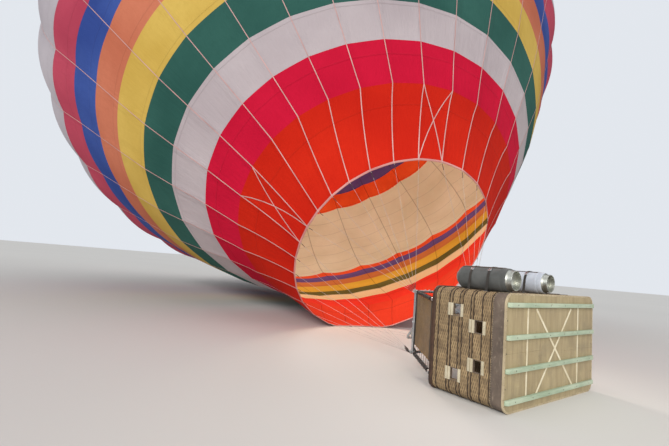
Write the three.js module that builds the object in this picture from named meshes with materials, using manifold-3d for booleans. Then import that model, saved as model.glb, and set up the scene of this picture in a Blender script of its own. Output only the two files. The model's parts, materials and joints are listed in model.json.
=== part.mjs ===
// A hot air balloon as it is being filled: the basket lies on its side, the burner is
// tipped up at the mouth, and the envelope rises behind it.
//
// Everything is laid out from the corner of the basket's floor board that rests on the
// ground: +X runs along the basket, +Y from its floor board to its rim, +Z up. The last
// lines move the origin to the middle of the envelope, where the air holds it up.

import * as THREE from 'three';
import { mergeVertices } from 'three/addons/utils/BufferGeometryUtils.js';
import Module from 'manifold-3d';

const wasm = await Module();
wasm.setup();

// Driving dimensions, in millimetres and degrees

const SEAT = 0.3;              // gap left between touching pieces
const FABRIC = 10;             // thickness of the envelope's shell
const SEAM_GAP = 0.4;          // gap between one colour band and the next

const GORES = 28;              // upright panels between the load tapes
const CENTRE_ALONG = 15470;    // mouth to widest ring, along the envelope's axis
const WIDEST_RADIUS = 11536;
const LOWER_DEPTH = 11420;     // half depth of the rounded part below the widest ring
const UPPER_DEPTH = 10000;     // and above it, where the crown is flatter
const MOUTH = new THREE.Vector3(2494, 4281, 1935);
const RISE = 40.4;             // slope of the axis above the ground
const HEADING = 17.8;          // its direction, from +Y towards +X
const FIRST_TAPE = -1.2;       // the tape at the top, from straight up
const OVAL = 0.05;             // how much the half-filled envelope is squashed
const OVAL_TOWARD = -18.4;
const MOUTH_OVAL = 0.058;      // the mouth stands taller than it is wide
const MOUTH_SHIFT = { side: -225, up: 65 };
const GATHER = { share: 0.058, toward: -15.6 };
const MOUTH_GATHER = { share: 0.174, toward: -57 };
const LEAN_TOWARD = 8.5;
const GROUND_CLEAR = 12;       // the lip of the mouth rests on the ground
const HEM = { wide: 40, proud: 4 };
const VENT = {
  opening: 3300,               // radius of the opening at the crown
  radius: 3700,                // radius of the parachute vent that closes it
  middle: 1800,                // ring of facets between its edge and its middle
  seat: 0.8,                   // gap to the cloth above it
};
const CROWN_RING = { radius: 300, wide: 30, deep: 24 };
const TAPE = { wide: 50, thick: 6 };

const BASKET = { length: 2650, width: 1500, height: 1172, corner: 150 };
const BOARD = 22;              // floor board thickness
const WALL = 36;               // woven wall thickness
const WALL_INSET = 15;         // wall, in from the edge of the floor board
const RIM_DEEP = 70;
const SCUFF = { height: 165, thick: 6 };
const SKID = { wide: 60, deep: 45, inset: 25, bevel: 40, square: 18 };
const PARTITION = { thick: 30, near: 950, far: 1700, short_of_rim: 12 };
const STEP_HOLE = { along: 120, across: 160 };

const FRAME = { x: 450, z: 300, length: 1750, width: 1060, tube: 40, y: 1880, corner: 50 };
const GIMBAL = { half_x: 790, half_z: 400, tube: 30, corner: 60 };
const PIN = { radius: 12, play: 1, short: 10 };
const BURNER_TILT = 35;        // the burner aims up into the mouth
const CAN = { radius: 125, wall: 14, height: 330, apart: 140 };
const MANIFOLD = { half: 280, low: -90, high: -40 };
const EAR = { half: 35, thick: 14, above_pin: 30 };
const VALVE = { half: 35, deep: 70 };
const POLE_RADIUS = 30;
const PANEL = { thick: 8, off_rim: 30, off_frame: 20, off_low_pole: 110 };
const WIRE_RADIUS = 4;
const WIRE_SPACING = 10;       // where seven of them leave one shackle
const SHACKLE = { wide: 64, deep: 40 };
const EYE = { wide: 12, long: 24, thick: 8, gap: 1.6 };
const CYLINDER = { radius: 158, length: 880, base: 60, shoulder: 110, ring: 136, ring_wall: 12 };
const GUARD = { radius: 106, wall: 10, height: 62 };
const JACKET = { thick: 14, start: 150, end: 80 };
const BITE = 5;                // how far fused pieces reach into each other

const radians = THREE.MathUtils.degToRad;

// Finishes

function finish(color, roughness = 0.7, metalness = 0) {
  return new THREE.MeshStandardMaterial({ color, roughness, metalness, side: THREE.DoubleSide });
}

const colours = {
  orange_red: finish(0xe23a1c),
  crimson: finish(0xcf2450),
  white: finish(0xd9ccd0),
  green: finish(0x2d6354),
  yellow: finish(0xd9b64e),
  orange: finish(0xcf7350),
  blue: finish(0x2f4fa0),
  rose: finish(0xc94a62),
};
const wicker = finish(0x86705a, 0.85);
const leather = finish(0x4a3a33, 0.6);
const plywood = finish(0xb39f6e, 0.6);
const painted_skid = finish(0x9cc3a4, 0.5);
const steel = finish(0xb8bcc0, 0.3, 0.9);
const dark_pad = finish(0x2e221c, 0.8);
const olive_cloth = finish(0x6b5a2e, 0.85);
const jacket_cloth = finish(0x5d6158, 0.8);
const pale_jacket = finish(0x8b8f95, 0.8);

// Helpers that make and join solids

const SAME_CORNER = 0.001;

function as_solid(geometry) {
  const bare = geometry.clone();
  bare.deleteAttribute('normal');
  bare.deleteAttribute('uv');
  const merged = mergeVertices(bare, SAME_CORNER);
  const mesh = new wasm.Mesh({
    numProp: 3,
    vertProperties: new Float32Array(merged.attributes.position.array),
    triVerts: new Uint32Array(merged.index.array),
  });
  return new wasm.Manifold(mesh);
}

function as_geometry(solid) {
  const mesh = solid.getMesh();
  const geometry = new THREE.BufferGeometry();
  geometry.setAttribute('position', new THREE.BufferAttribute(mesh.vertProperties, 3));
  geometry.setIndex(new THREE.BufferAttribute(mesh.triVerts, 1));
  return geometry;
}

function joined(geometries) {
  let whole = as_solid(geometries[0]);
  for (const geometry of geometries.slice(1)) {
    whole = whole.add(as_solid(geometry));
  }
  return as_geometry(whole);
}

function cut(geometry, tools) {
  let whole = as_solid(geometry);
  for (const tool of tools) {
    whole = whole.subtract(as_solid(tool));
  }
  return as_geometry(whole);
}

function block(low, high) {
  const size = high.map((value, axis) => value - low[axis]);
  const geometry = new THREE.BoxGeometry(...size);
  geometry.translate(...low.map((value, axis) => value + size[axis] / 2));
  return geometry;
}

function rod(from, to, radius, sides = 6) {
  const line = new THREE.Vector3().subVectors(to, from);
  const geometry = new THREE.CylinderGeometry(radius, radius, line.length(), sides);
  const up = new THREE.Vector3(0, 1, 0);
  geometry.applyQuaternion(new THREE.Quaternion().setFromUnitVectors(up, line.normalize()));
  const middle = new THREE.Vector3().addVectors(from, to).multiplyScalar(0.5);
  geometry.translate(middle.x, middle.y, middle.z);
  return geometry;
}

function rounded(low_x, low_z, high_x, high_z, radius, Kind = THREE.Shape) {
  const outline = new Kind();
  outline.moveTo(low_x + radius, low_z);
  outline.lineTo(high_x - radius, low_z);
  outline.absarc(high_x - radius, low_z + radius, radius, -Math.PI / 2, 0);
  outline.lineTo(high_x, high_z - radius);
  outline.absarc(high_x - radius, high_z - radius, radius, 0, Math.PI / 2);
  outline.lineTo(low_x + radius, high_z);
  outline.absarc(low_x + radius, high_z - radius, radius, Math.PI / 2, Math.PI);
  outline.lineTo(low_x, low_z + radius);
  outline.absarc(low_x + radius, low_z + radius, radius, Math.PI, 1.5 * Math.PI);
  return outline;
}

// A solid turned about the Y axis, from pairs of radius and height
function turned(profile, sides) {
  return new THREE.LatheGeometry(profile.map(([radius, y]) => new THREE.Vector2(radius, y)), sides);
}

function tube(inner, outer, y_low, y_high, sides) {
  return turned([[inner, y_low], [outer, y_low], [outer, y_high], [inner, y_high], [inner, y_low]], sides);
}

// An outline drawn in X and Z, given a thickness in Y from y_low to y_high
function slab(outline, y_low, y_high, curveSegments = 5) {
  const geometry = new THREE.ExtrudeGeometry(outline, {
    depth: y_high - y_low,
    bevelEnabled: false,
    curveSegments,
  });
  geometry.rotateX(Math.PI / 2);
  geometry.translate(0, y_high, 0);
  return geometry;
}

// The envelope's cloth surface

const axis = new THREE.Vector3(
  Math.cos(radians(RISE)) * Math.sin(radians(HEADING)),
  Math.cos(radians(RISE)) * Math.cos(radians(HEADING)),
  Math.sin(radians(RISE)),
);
const side = new THREE.Vector3(Math.cos(radians(HEADING)), -Math.sin(radians(HEADING)), 0);
const up_slope = new THREE.Vector3().crossVectors(side, axis);

function rounded_radius(along) {
  const depth = along < CENTRE_ALONG ? LOWER_DEPTH : UPPER_DEPTH;
  const share = (along - CENTRE_ALONG) / depth;
  return WIDEST_RADIUS * Math.sqrt(Math.max(0, 1 - share * share));
}

// Rings where one colour meets the next, below the rounded part
const ROUND_START = 9461;
const rings = [
  // name, distance along the axis, radius, lean along the axis
  { name: 'mouth', along: 0, radius: 2570, lean: 0 },
  { name: 'crimson', along: 1830, radius: 3776, lean: 211 },
  { name: 'white', along: 2827, radius: 4602, lean: 157 },
  { name: 'green', along: 3847, radius: 5509, lean: 0 },
  { name: 'yellow', along: 4845, radius: 6363, lean: 0 },
  { name: 'orange', along: 6023, radius: 7252, lean: 0 },
  { name: 'blue', along: 7138, radius: 8069, lean: 0 },
  { name: 'rose', along: 8310, radius: 8926, lean: 0 },
  { name: 'wide white', along: ROUND_START, radius: rounded_radius(ROUND_START), lean: 0 },
];
const CROWN_ALONG = CENTRE_ALONG + UPPER_DEPTH;

// How far a panel bulges, as a share of its width. Near the mouth the cloth is pulled
// flat between the tapes, and towards the widest ring the air fills it.
const bulges = [
  { along: 3900, share: -0.025 },
  { along: 6050, share: 0 },
  { along: 8400, share: 0.03 },
  { along: 9500, share: 0.06 },
  { along: 12000, share: 0.07 },
];

// A column of a table, read between its rows, which are in order of along
function table_value(table, along, column) {
  let next = table.findIndex((row) => row.along > along);
  next = Math.max(1, next);
  const below = table[next - 1];
  const above = table[next];
  const share = (along - below.along) / (above.along - below.along);
  return below[column] + share * (above[column] - below[column]);
}

function ring_value(along, column) {
  return table_value(rings, along, column);
}

function bulge_at(along) {
  const last = bulges.at(-1);
  if (along >= last.along) {
    return last.share;
  }
  return table_value(bulges, Math.max(along, bulges[0].along), 'share');
}

function radius_at(along) {
  if (along < ROUND_START) {
    return ring_value(along, 'radius');
  }
  return rounded_radius(along);
}

function along_at(radius) {
  return CENTRE_ALONG + UPPER_DEPTH * Math.sqrt(1 - (radius / WIDEST_RADIUS) ** 2);
}

function gathered(angle, gather) {
  return angle - gather.share * Math.sin(angle - radians(gather.toward));
}

// A point of the cloth: its distance along the axis, and its place counted in gores
function base_point(along, gore) {
  const plain = radians(FIRST_TAPE) - (gore * 2 * Math.PI) / GORES;
  const near_mouth = THREE.MathUtils.clamp(1 - along / rings[1].along, 0, 1);
  const angle = THREE.MathUtils.lerp(
    gathered(plain, GATHER),
    gathered(plain, MOUTH_GATHER),
    near_mouth,
  );
  const squash = -OVAL * Math.cos(2 * (angle - radians(OVAL_TOWARD)));
  const stretch = MOUTH_OVAL * Math.cos(2 * angle);
  const lean = along < ROUND_START ? ring_value(along, 'lean') : 0;
  const reach = along + lean * Math.cos(angle - radians(LEAN_TOWARD));
  const radius = radius_at(reach) * (1 + THREE.MathUtils.lerp(squash, stretch, near_mouth));
  const place = MOUTH.clone();
  place.addScaledVector(axis, reach);
  place.addScaledVector(side, radius * Math.sin(angle) + near_mouth * MOUTH_SHIFT.side);
  place.addScaledVector(up_slope, radius * Math.cos(angle) + near_mouth * MOUTH_SHIFT.up);
  return place;
}

function outward(along, gore) {
  const step = 40;
  const turn = 0.1;
  const up = base_point(along + step, gore).sub(base_point(along - step, gore));
  const round = base_point(along, gore - turn).sub(base_point(along, gore + turn));
  return round.cross(up).normalize();
}

function cloth_point(along, gore, depth = 0, share = bulge_at(along)) {
  const part = gore - Math.floor(gore);
  const gore_width = (2 * Math.PI * radius_at(along)) / GORES;
  const bulge = share * gore_width * 4 * part * (1 - part);
  const place = base_point(along, gore);
  place.addScaledVector(outward(along, gore), bulge);
  place.z = Math.max(place.z, GROUND_CLEAR);
  place.addScaledVector(outward(along, gore), -depth);
  return place;
}

const STEPS_ROUND = 2 * GORES;

// A closed shell between rings of the cloth. depth_out and depth_in are measured
// inwards from the cloth surface. Both sides are split into triangles along the same
// lines, so the wall keeps its thickness where the cloth twists.
function cloth_shell(alongs, depth_out, depth_in) {
  const layers = [];
  for (const along of alongs) {
    layers.push({ along, depth: depth_out });
  }
  for (const along of [...alongs].reverse()) {
    layers.push({ along, depth: depth_in });
  }
  const points = [];
  for (const layer of layers) {
    for (let step = 0; step < STEPS_ROUND; step += 1) {
      points.push(cloth_point(layer.along, step / 2, layer.depth));
    }
  }
  const faces = [];
  for (let row = 0; row < layers.length; row += 1) {
    const next_row = (row + 1) % layers.length;
    const inside = row >= alongs.length;
    for (let step = 0; step < STEPS_ROUND; step += 1) {
      const next_step = (step + 1) % STEPS_ROUND;
      const a = row * STEPS_ROUND + step;
      const b = row * STEPS_ROUND + next_step;
      const c = next_row * STEPS_ROUND + next_step;
      const d = next_row * STEPS_ROUND + step;
      if (inside) {
        faces.push(a, d, b, d, c, b);
      } else {
        faces.push(a, d, c, a, c, b);
      }
    }
  }
  return indexed(points, faces);
}

// The parachute vent: a shallow dish whose two sides close on the axis
function cloth_dish(alongs, depth_out, depth_in) {
  const points = [...flat_rows(alongs, depth_out), ...flat_rows(alongs, depth_in)];
  const top = points.push(on_axis(CROWN_ALONG - depth_out)) - 1;
  const bottom = points.push(on_axis(CROWN_ALONG - depth_in)) - 1;
  const rows = alongs.length;
  const faces = [];
  for (let step = 0; step < STEPS_ROUND; step += 1) {
    const next_step = (step + 1) % STEPS_ROUND;
    const outer = (row, at) => row * STEPS_ROUND + at;
    const inner = (row, at) => (rows + row) * STEPS_ROUND + at;
    for (let row = 0; row < rows - 1; row += 1) {
      faces.push(outer(row, step), outer(row + 1, next_step), outer(row, next_step));
      faces.push(outer(row, step), outer(row + 1, step), outer(row + 1, next_step));
      faces.push(inner(row, step), inner(row, next_step), inner(row + 1, next_step));
      faces.push(inner(row, step), inner(row + 1, next_step), inner(row + 1, step));
    }
    faces.push(outer(rows - 1, step), top, outer(rows - 1, next_step));
    faces.push(inner(rows - 1, step), inner(rows - 1, next_step), bottom);
    faces.push(outer(0, step), outer(0, next_step), inner(0, next_step));
    faces.push(outer(0, step), inner(0, next_step), inner(0, step));
  }
  return indexed(points, faces);
}

// Rings of the cloth without its bulges
function flat_rows(alongs, depth) {
  const points = [];
  for (const along of alongs) {
    for (let step = 0; step < STEPS_ROUND; step += 1) {
      points.push(cloth_point(along, step / 2, depth, 0));
    }
  }
  return points;
}

function on_axis(along) {
  return MOUTH.clone().addScaledVector(axis, along);
}

function indexed(points, faces) {
  const geometry = new THREE.BufferGeometry();
  const values = points.flatMap((point) => [point.x, point.y, point.z]);
  geometry.setAttribute('position', new THREE.Float32BufferAttribute(values, 3));
  geometry.setIndex(faces);
  return geometry;
}

function spread(low, high, count) {
  const values = [];
  for (let step = 0; step <= count; step += 1) {
    values.push(low + ((high - low) * step) / count);
  }
  return values;
}

// The pieces of the balloon

const balloon = new THREE.Group();
balloon.name = 'hot_air_balloon';

function add(name, geometry, material, parent = balloon) {
  const mesh = new THREE.Mesh(geometry, material);
  mesh.name = name;
  parent.add(mesh);
  return mesh;
}

// Envelope: one shell for each band of colour, from the mouth to the vent opening

const bands = [
  // name, where it ends along the axis, how many rows of facets, colour
  { name: 'band_01_throat', to: rings[1].along, rows: 2, colour: 'orange_red' },
  { name: 'band_02_crimson', to: rings[2].along, rows: 1, colour: 'crimson' },
  { name: 'band_03_white', to: rings[3].along, rows: 1, colour: 'white' },
  { name: 'band_04_green', to: rings[4].along, rows: 1, colour: 'green' },
  { name: 'band_05_yellow', to: rings[5].along, rows: 1, colour: 'yellow' },
  { name: 'band_06_orange', to: rings[6].along, rows: 1, colour: 'orange' },
  { name: 'band_07_blue', to: rings[7].along, rows: 1, colour: 'blue' },
  { name: 'band_08_rose', to: rings[8].along, rows: 1, colour: 'rose' },
  { name: 'band_09_wide_white', to: 17390, rows: 4, colour: 'white' },
  { name: 'band_10_rose', to: 18710, rows: 1, colour: 'rose' },
  { name: 'band_11_blue', to: 20000, rows: 1, colour: 'blue' },
  { name: 'band_12_orange', to: 21050, rows: 1, colour: 'orange' },
  { name: 'band_13_yellow', to: along_at(8300), rows: 1, colour: 'yellow' },
  { name: 'band_14_green', to: along_at(7300), rows: 1, colour: 'green' },
  { name: 'band_15_white', to: along_at(6250), rows: 1, colour: 'white' },
  { name: 'band_16_crimson', to: along_at(5150), rows: 1, colour: 'crimson' },
];
let band_start = rings[0].along;
for (const band of bands) {
  const alongs = spread(band_start, band.to, band.rows);
  alongs[0] += SEAM_GAP / 2;
  alongs[alongs.length - 1] -= SEAM_GAP / 2;
  add(band.name, cloth_shell(alongs, 0, FABRIC), colours[band.colour]);
  band_start = band.to;
}

const crown_rows = [band_start + SEAM_GAP / 2, along_at(VENT.radius), along_at(VENT.opening)];
add('band_17_crown', cloth_shell(crown_rows, 0, FABRIC), colours.orange_red);

add(
  'mouth_hem',
  cloth_shell([-HEM.wide, -SEAM_GAP], -HEM.proud, FABRIC + HEM.proud),
  colours.orange_red,
);

// Parachute vent, pressed against the inside of the crown opening
const vent_depth = FABRIC + VENT.seat;
const vent_rows = [VENT.radius, VENT.opening, VENT.middle].map(along_at);
add('parachute_vent', cloth_dish(vent_rows, vent_depth, vent_depth + FABRIC), colours.orange_red);

// Load tapes over the vent opening, which meet at the crown ring
function crown_web() {
  const pieces = [];
  const half = TAPE.wide / 2;
  const turn = 0.05;
  const clear_of_edge = half * Math.tan(Math.PI / GORES / 2) + SEAM_GAP;
  const ring_inner = CROWN_RING.radius - CROWN_RING.wide;
  const stations = [VENT.opening - clear_of_edge, VENT.middle, ring_inner + BITE].map(along_at);
  for (let tape = 0; tape < GORES; tape += 1) {
    const points = [];
    stations.forEach((along) => {
      const centre = cloth_point(along, tape, 0, 0);
      const out = outward(along, tape);
      const before = base_point(along, tape - turn);
      const across = base_point(along, tape + turn).sub(before).normalize();
      const corners = [[-half, 0], [half, 0], [half, TAPE.thick], [-half, TAPE.thick]];
      for (const [sideways, depth] of corners) {
        points.push(centre.clone().addScaledVector(across, sideways).addScaledVector(out, -depth));
      }
    });
    const faces = [];
    for (let row = 0; row < stations.length - 1; row += 1) {
      for (let corner = 0; corner < 4; corner += 1) {
        const next = (corner + 1) % 4;
        const a = row * 4 + corner;
        const b = row * 4 + next;
        faces.push(a, b + 4, b, a, a + 4, b + 4);
      }
    }
    const last = (stations.length - 1) * 4;
    faces.push(0, 1, 2, 0, 2, 3);
    faces.push(last, last + 2, last + 1, last, last + 3, last + 2);
    pieces.push(indexed(points, faces));
  }
  const ring = tube(ring_inner, CROWN_RING.radius, -CROWN_RING.deep / 2, CROWN_RING.deep / 2, GORES);
  ring.applyQuaternion(new THREE.Quaternion().setFromUnitVectors(new THREE.Vector3(0, 1, 0), axis));
  const seat = on_axis(along_at(CROWN_RING.radius - CROWN_RING.wide / 2));
  ring.translate(seat.x, seat.y, seat.z);
  pieces.push(ring);
  return joined(pieces);
}
add('crown_web', crown_web(), colours.white);

// Basket

const { length, width, height, corner } = BASKET;
const outline = (inset, Kind = THREE.Shape) =>
  rounded(inset, inset, length - inset, width - inset, corner - inset, Kind);

function ring_slab(outer_inset, inner_inset, y_low, y_high) {
  const shape = outline(outer_inset);
  shape.holes.push(outline(inner_inset, THREE.Path));
  return slab(shape, y_low, y_high);
}

const WALL_INNER = WALL_INSET + WALL;
const RIM_LOW = height - RIM_DEEP;

const step_holes = [
  // distance above the floor board, offset from the middle of the end wall
  { y: 735, offset: 440 },
  { y: 385, offset: 255 },
  { y: 385, offset: -255 },
  { y: 735, offset: -440 },
];

function woven_wall() {
  const wall = ring_slab(WALL_INSET, WALL_INNER, BOARD + SEAT, RIM_LOW - SEAT);
  const tools = step_holes.map(({ y, offset }) => {
    const middle = width / 2 + offset;
    return block(
      [WALL_INSET - BITE, y - STEP_HOLE.along / 2, middle - STEP_HOLE.across / 2],
      [WALL_INNER + BITE, y + STEP_HOLE.along / 2, middle + STEP_HOLE.across / 2],
    );
  });
  return cut(wall, tools);
}

add('basket_wall', woven_wall(), wicker);
add('basket_floor', slab(outline(0), 0, BOARD), plywood);
add('basket_rim', ring_slab(0, WALL_INNER, RIM_LOW, height), leather);
const scuff_outer = WALL_INSET - SEAT - SCUFF.thick;
add(
  'scuff_band',
  ring_slab(scuff_outer, WALL_INSET - SEAT, BOARD + SEAT, BOARD + SEAT + SCUFF.height),
  leather,
);

// Two T-shaped partitions leave a bay for the pilot between them
function partition(cross_x, end_x) {
  const half = PARTITION.thick / 2;
  const inner_low = WALL_INNER + SEAT;
  const inner_high = width - WALL_INNER - SEAT;
  const middle = width / 2;
  const towards_end = Math.sign(end_x - cross_x) * half;
  const shape = new THREE.Shape();
  shape.moveTo(cross_x - towards_end, inner_low);
  shape.lineTo(cross_x + towards_end, inner_low);
  shape.lineTo(cross_x + towards_end, middle - half);
  shape.lineTo(end_x, middle - half);
  shape.lineTo(end_x, middle + half);
  shape.lineTo(cross_x + towards_end, middle + half);
  shape.lineTo(cross_x + towards_end, inner_high);
  shape.lineTo(cross_x - towards_end, inner_high);
  return slab(shape, BOARD + SEAT, height - PARTITION.short_of_rim);
}
add('partition_near', partition(PARTITION.near, WALL_INNER + SEAT), wicker);
add('partition_far', partition(PARTITION.far, length - WALL_INNER - SEAT), wicker);

// Skids under the floor board, with bevelled ends
const skid_places = [150, 530, 940, 1350];
skid_places.forEach((z, index) => {
  const start = SKID.inset;
  const end = length - SKID.inset;
  const shape = new THREE.Shape();
  shape.moveTo(start, -SEAT);
  shape.lineTo(start, -SEAT - SKID.square);
  shape.lineTo(start + SKID.bevel, -SEAT - SKID.deep);
  shape.lineTo(end - SKID.bevel, -SEAT - SKID.deep);
  shape.lineTo(end, -SEAT - SKID.square);
  shape.lineTo(end, -SEAT);
  const skid = new THREE.ExtrudeGeometry(shape, { depth: SKID.wide, bevelEnabled: false });
  skid.translate(0, 0, z - SKID.wide / 2);
  add(`skid_${index + 1}`, skid, painted_skid);
});

// Fuel cylinders in padded jackets, lying on the upper side of the basket
const cylinder_places = [
  // place along the basket, start from the floor board, jacket
  { x: 400, y: 95, jacket: jacket_cloth },
  { x: 1500, y: 150, jacket: pale_jacket },
];
cylinder_places.forEach(({ x, y, jacket }, index) => {
  const { radius, base, shoulder, ring, ring_wall } = CYLINDER;
  const full = CYLINDER.length;
  const top = full - GUARD.height;
  const body = turned([
    // radius, height
    [0, base],
    [ring - ring_wall, base],
    [ring - ring_wall, 0],
    [ring, 0],
    [ring, base + 2],
    [radius, shoulder],
    [radius, full - shoulder],
    [ring, top - 8],
    [GUARD.radius, top],
    [GUARD.radius, full],
    [GUARD.radius - GUARD.wall, full],
    [GUARD.radius - GUARD.wall, top + 7],
    [0, top + 12],
  ], 16);
  const inner = radius + SEAT;
  const shell_radius = radius + JACKET.thick;
  const cover = turned([
    [inner, JACKET.start],
    [shell_radius, JACKET.start],
    [shell_radius, full - JACKET.end],
    [radius - 20, full - 30],
    [radius - 30, full - 36],
    [inner, full - JACKET.end - 10],
    [inner, JACKET.start],
  ], 16);
  const lying = new THREE.Group();
  lying.position.set(x, y, width - WALL_INSET + SEAT + shell_radius);
  balloon.add(lying);
  add(`fuel_cylinder_${index + 1}`, body, steel, lying);
  add(`cylinder_jacket_${index + 1}`, cover, jacket, lying);
});

// Burner frame, carried on four padded poles

const frame_centre = new THREE.Vector3(
  FRAME.x + FRAME.length / 2,
  FRAME.y + FRAME.tube / 2,
  FRAME.z + FRAME.width / 2,
);

// A square tube bent into a rounded rectangle, drawn in X and Z
function tube_ring(low_x, low_z, high_x, high_z, thick, radius, y_low) {
  const shape = rounded(low_x, low_z, high_x, high_z, radius);
  shape.holes.push(rounded(
    low_x + thick,
    low_z + thick,
    high_x - thick,
    high_z - thick,
    Math.max(radius - thick, thick / 2),
    THREE.Path,
  ));
  return slab(shape, y_low, y_low + thick, 3);
}

function burner_frame() {
  const ring = tube_ring(
    FRAME.x,
    FRAME.z,
    FRAME.x + FRAME.length,
    FRAME.z + FRAME.width,
    FRAME.tube,
    FRAME.corner,
    FRAME.y,
  );
  const bore = rod(
    frame_centre.clone().add(new THREE.Vector3(-FRAME.length, 0, 0)),
    frame_centre.clone().add(new THREE.Vector3(FRAME.length, 0, 0)),
    PIN.radius + PIN.play,
    16,
  );
  return cut(ring, [bore]);
}
add('burner_frame', burner_frame(), steel);

const pole_feet = { x: WALL_INSET + WALL / 2, z: 220 };
const pole_head = { x: FRAME.x + FRAME.tube / 2, z: FRAME.z + FRAME.tube / 2 };
const frame_far_x = 2 * FRAME.x + FRAME.length - pole_head.x;
const frame_far_z = 2 * FRAME.z + FRAME.width - pole_head.z;
const poles = [
  // name, foot on the rim, head under the frame's corner
  { name: 'pole_near_low', foot: [pole_feet.x, pole_feet.z], head: [pole_head.x, pole_head.z] },
  { name: 'pole_near_high', foot: [pole_feet.x, width - pole_feet.z], head: [pole_head.x, frame_far_z] },
  { name: 'pole_far_low', foot: [length - pole_feet.x, pole_feet.z], head: [frame_far_x, pole_head.z] },
  {
    name: 'pole_far_high',
    foot: [length - pole_feet.x, width - pole_feet.z],
    head: [frame_far_x, frame_far_z],
  },
];
const POLE_LOW = height + SEAT;
const POLE_HIGH = FRAME.y - SEAT;

// Where a leaning pole's middle is at the height y
function pole_middle({ foot, head }, y) {
  const share = (y - POLE_LOW) / (POLE_HIGH - POLE_LOW);
  return {
    x: THREE.MathUtils.lerp(foot[0], head[0], share),
    z: THREE.MathUtils.lerp(foot[1], head[1], share),
  };
}

for (const pole of poles) {
  const rise = POLE_HIGH - POLE_LOW;
  const geometry = new THREE.CylinderGeometry(POLE_RADIUS, POLE_RADIUS, rise, 12);
  geometry.translate(0, (POLE_LOW + POLE_HIGH) / 2, 0);
  const corners = geometry.attributes.position;
  for (let index = 0; index < corners.count; index += 1) {
    const middle = pole_middle(pole, corners.getY(index));
    corners.setX(index, corners.getX(index) + middle.x);
    corners.setZ(index, corners.getZ(index) + middle.z);
  }
  add(pole.name, geometry, dark_pad);
}

// Cloth panel hung between the two near poles
function cloth_panel() {
  const [low_pole, high_pole] = poles;
  const half = PANEL.thick / 2;
  const rows = [POLE_LOW + PANEL.off_rim, POLE_HIGH - PANEL.off_frame];
  const points = [];
  for (const y of rows) {
    const low = pole_middle(low_pole, y);
    const high = pole_middle(high_pole, y);
    const bottom = low.z + POLE_RADIUS + PANEL.off_low_pole;
    const top = high.z - POLE_RADIUS - SEAT;
    points.push(
      new THREE.Vector3(low.x - half, y, bottom),
      new THREE.Vector3(low.x + half, y, bottom),
      new THREE.Vector3(high.x + half, y, top),
      new THREE.Vector3(high.x - half, y, top),
    );
  }
  const faces = [0, 1, 2, 0, 2, 3, 4, 6, 5, 4, 7, 6];
  for (let edge = 0; edge < 4; edge += 1) {
    const next = (edge + 1) % 4;
    faces.push(edge, edge + 4, next + 4, edge, next + 4, next);
  }
  return indexed(points, faces);
}
add('cloth_panel', cloth_panel(), olive_cloth);

// Burner on its gimbal. Both are drawn upright about the gimbal's centre, then tipped.

const tipped = new THREE.Group();
tipped.position.copy(frame_centre);
tipped.rotation.x = radians(BURNER_TILT);
balloon.add(tipped);

function gimbal_ring() {
  const { half_x, half_z, corner: radius } = GIMBAL;
  const ring = tube_ring(-half_x, -half_z, half_x, half_z, GIMBAL.tube, radius, -GIMBAL.tube / 2);
  const pin_end = FRAME.length / 2 - PIN.short;
  const pins = [-1, 1].map((sign) => rod(
    new THREE.Vector3(sign * (half_x - GIMBAL.tube / 2), 0, 0),
    new THREE.Vector3(sign * pin_end, 0, 0),
    PIN.radius,
    16,
  ));
  const bore = rod(
    new THREE.Vector3(0, 0, -2 * half_z),
    new THREE.Vector3(0, 0, 2 * half_z),
    PIN.radius + PIN.play,
    16,
  );
  return cut(joined([ring, ...pins]), [bore]);
}
add('gimbal_ring', gimbal_ring(), steel, tipped);

const can_places = [[-1, -1], [1, -1], [1, 1], [-1, 1]];

// The manifold that carries the cans, with its valves below and its ears for the pins
function burner_block() {
  const { half, low, high } = MANIFOLD;
  const pieces = [block([-half, low, -half], [half, high, half])];
  for (const sign of [-1, 1]) {
    const ear_low = sign > 0 ? half - EAR.thick : -half;
    pieces.push(block(
      [-EAR.half, high - BITE, ear_low],
      [EAR.half, EAR.above_pin, ear_low + EAR.thick],
    ));
    pieces.push(rod(
      new THREE.Vector3(0, 0, sign * (half - EAR.thick / 2)),
      new THREE.Vector3(0, 0, sign * (GIMBAL.half_z - PIN.short / 2)),
      PIN.radius,
      16,
    ));
  }
  for (const [sign_x, sign_z] of can_places) {
    const valve_x = sign_x * CAN.apart;
    const valve_z = sign_z * CAN.apart;
    pieces.push(block(
      [valve_x - VALVE.half, low - VALVE.deep, valve_z - VALVE.half],
      [valve_x + VALVE.half, low + BITE, valve_z + VALVE.half],
    ));
  }
  return joined(pieces);
}
add('burner_block', burner_block(), steel, tipped);

can_places.forEach(([sign_x, sign_z], index) => {
  const { radius, wall, apart } = CAN;
  const low = MANIFOLD.high + SEAT;
  const can = tube(radius - wall, radius, low, low + CAN.height, 20);
  can.translate(sign_x * apart, 0, sign_z * apart);
  add(`burner_can_${index + 1}`, can, steel, tipped);
});

// Flying wires: seven from each corner of the frame to the ends of seven load tapes

const WIRES_PER_CORNER = GORES / 4;
const wire_corners = [
  // name, corner of the frame, first of its tapes
  { name: 'wires_near_high', x: pole_head.x, z: frame_far_z, first: 0 },
  { name: 'wires_near_low', x: pole_head.x, z: pole_head.z, first: 7 },
  { name: 'wires_far_low', x: frame_far_x, z: pole_head.z, first: 14 },
  { name: 'wires_far_high', x: frame_far_x, z: frame_far_z, first: 21 },
];

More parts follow.
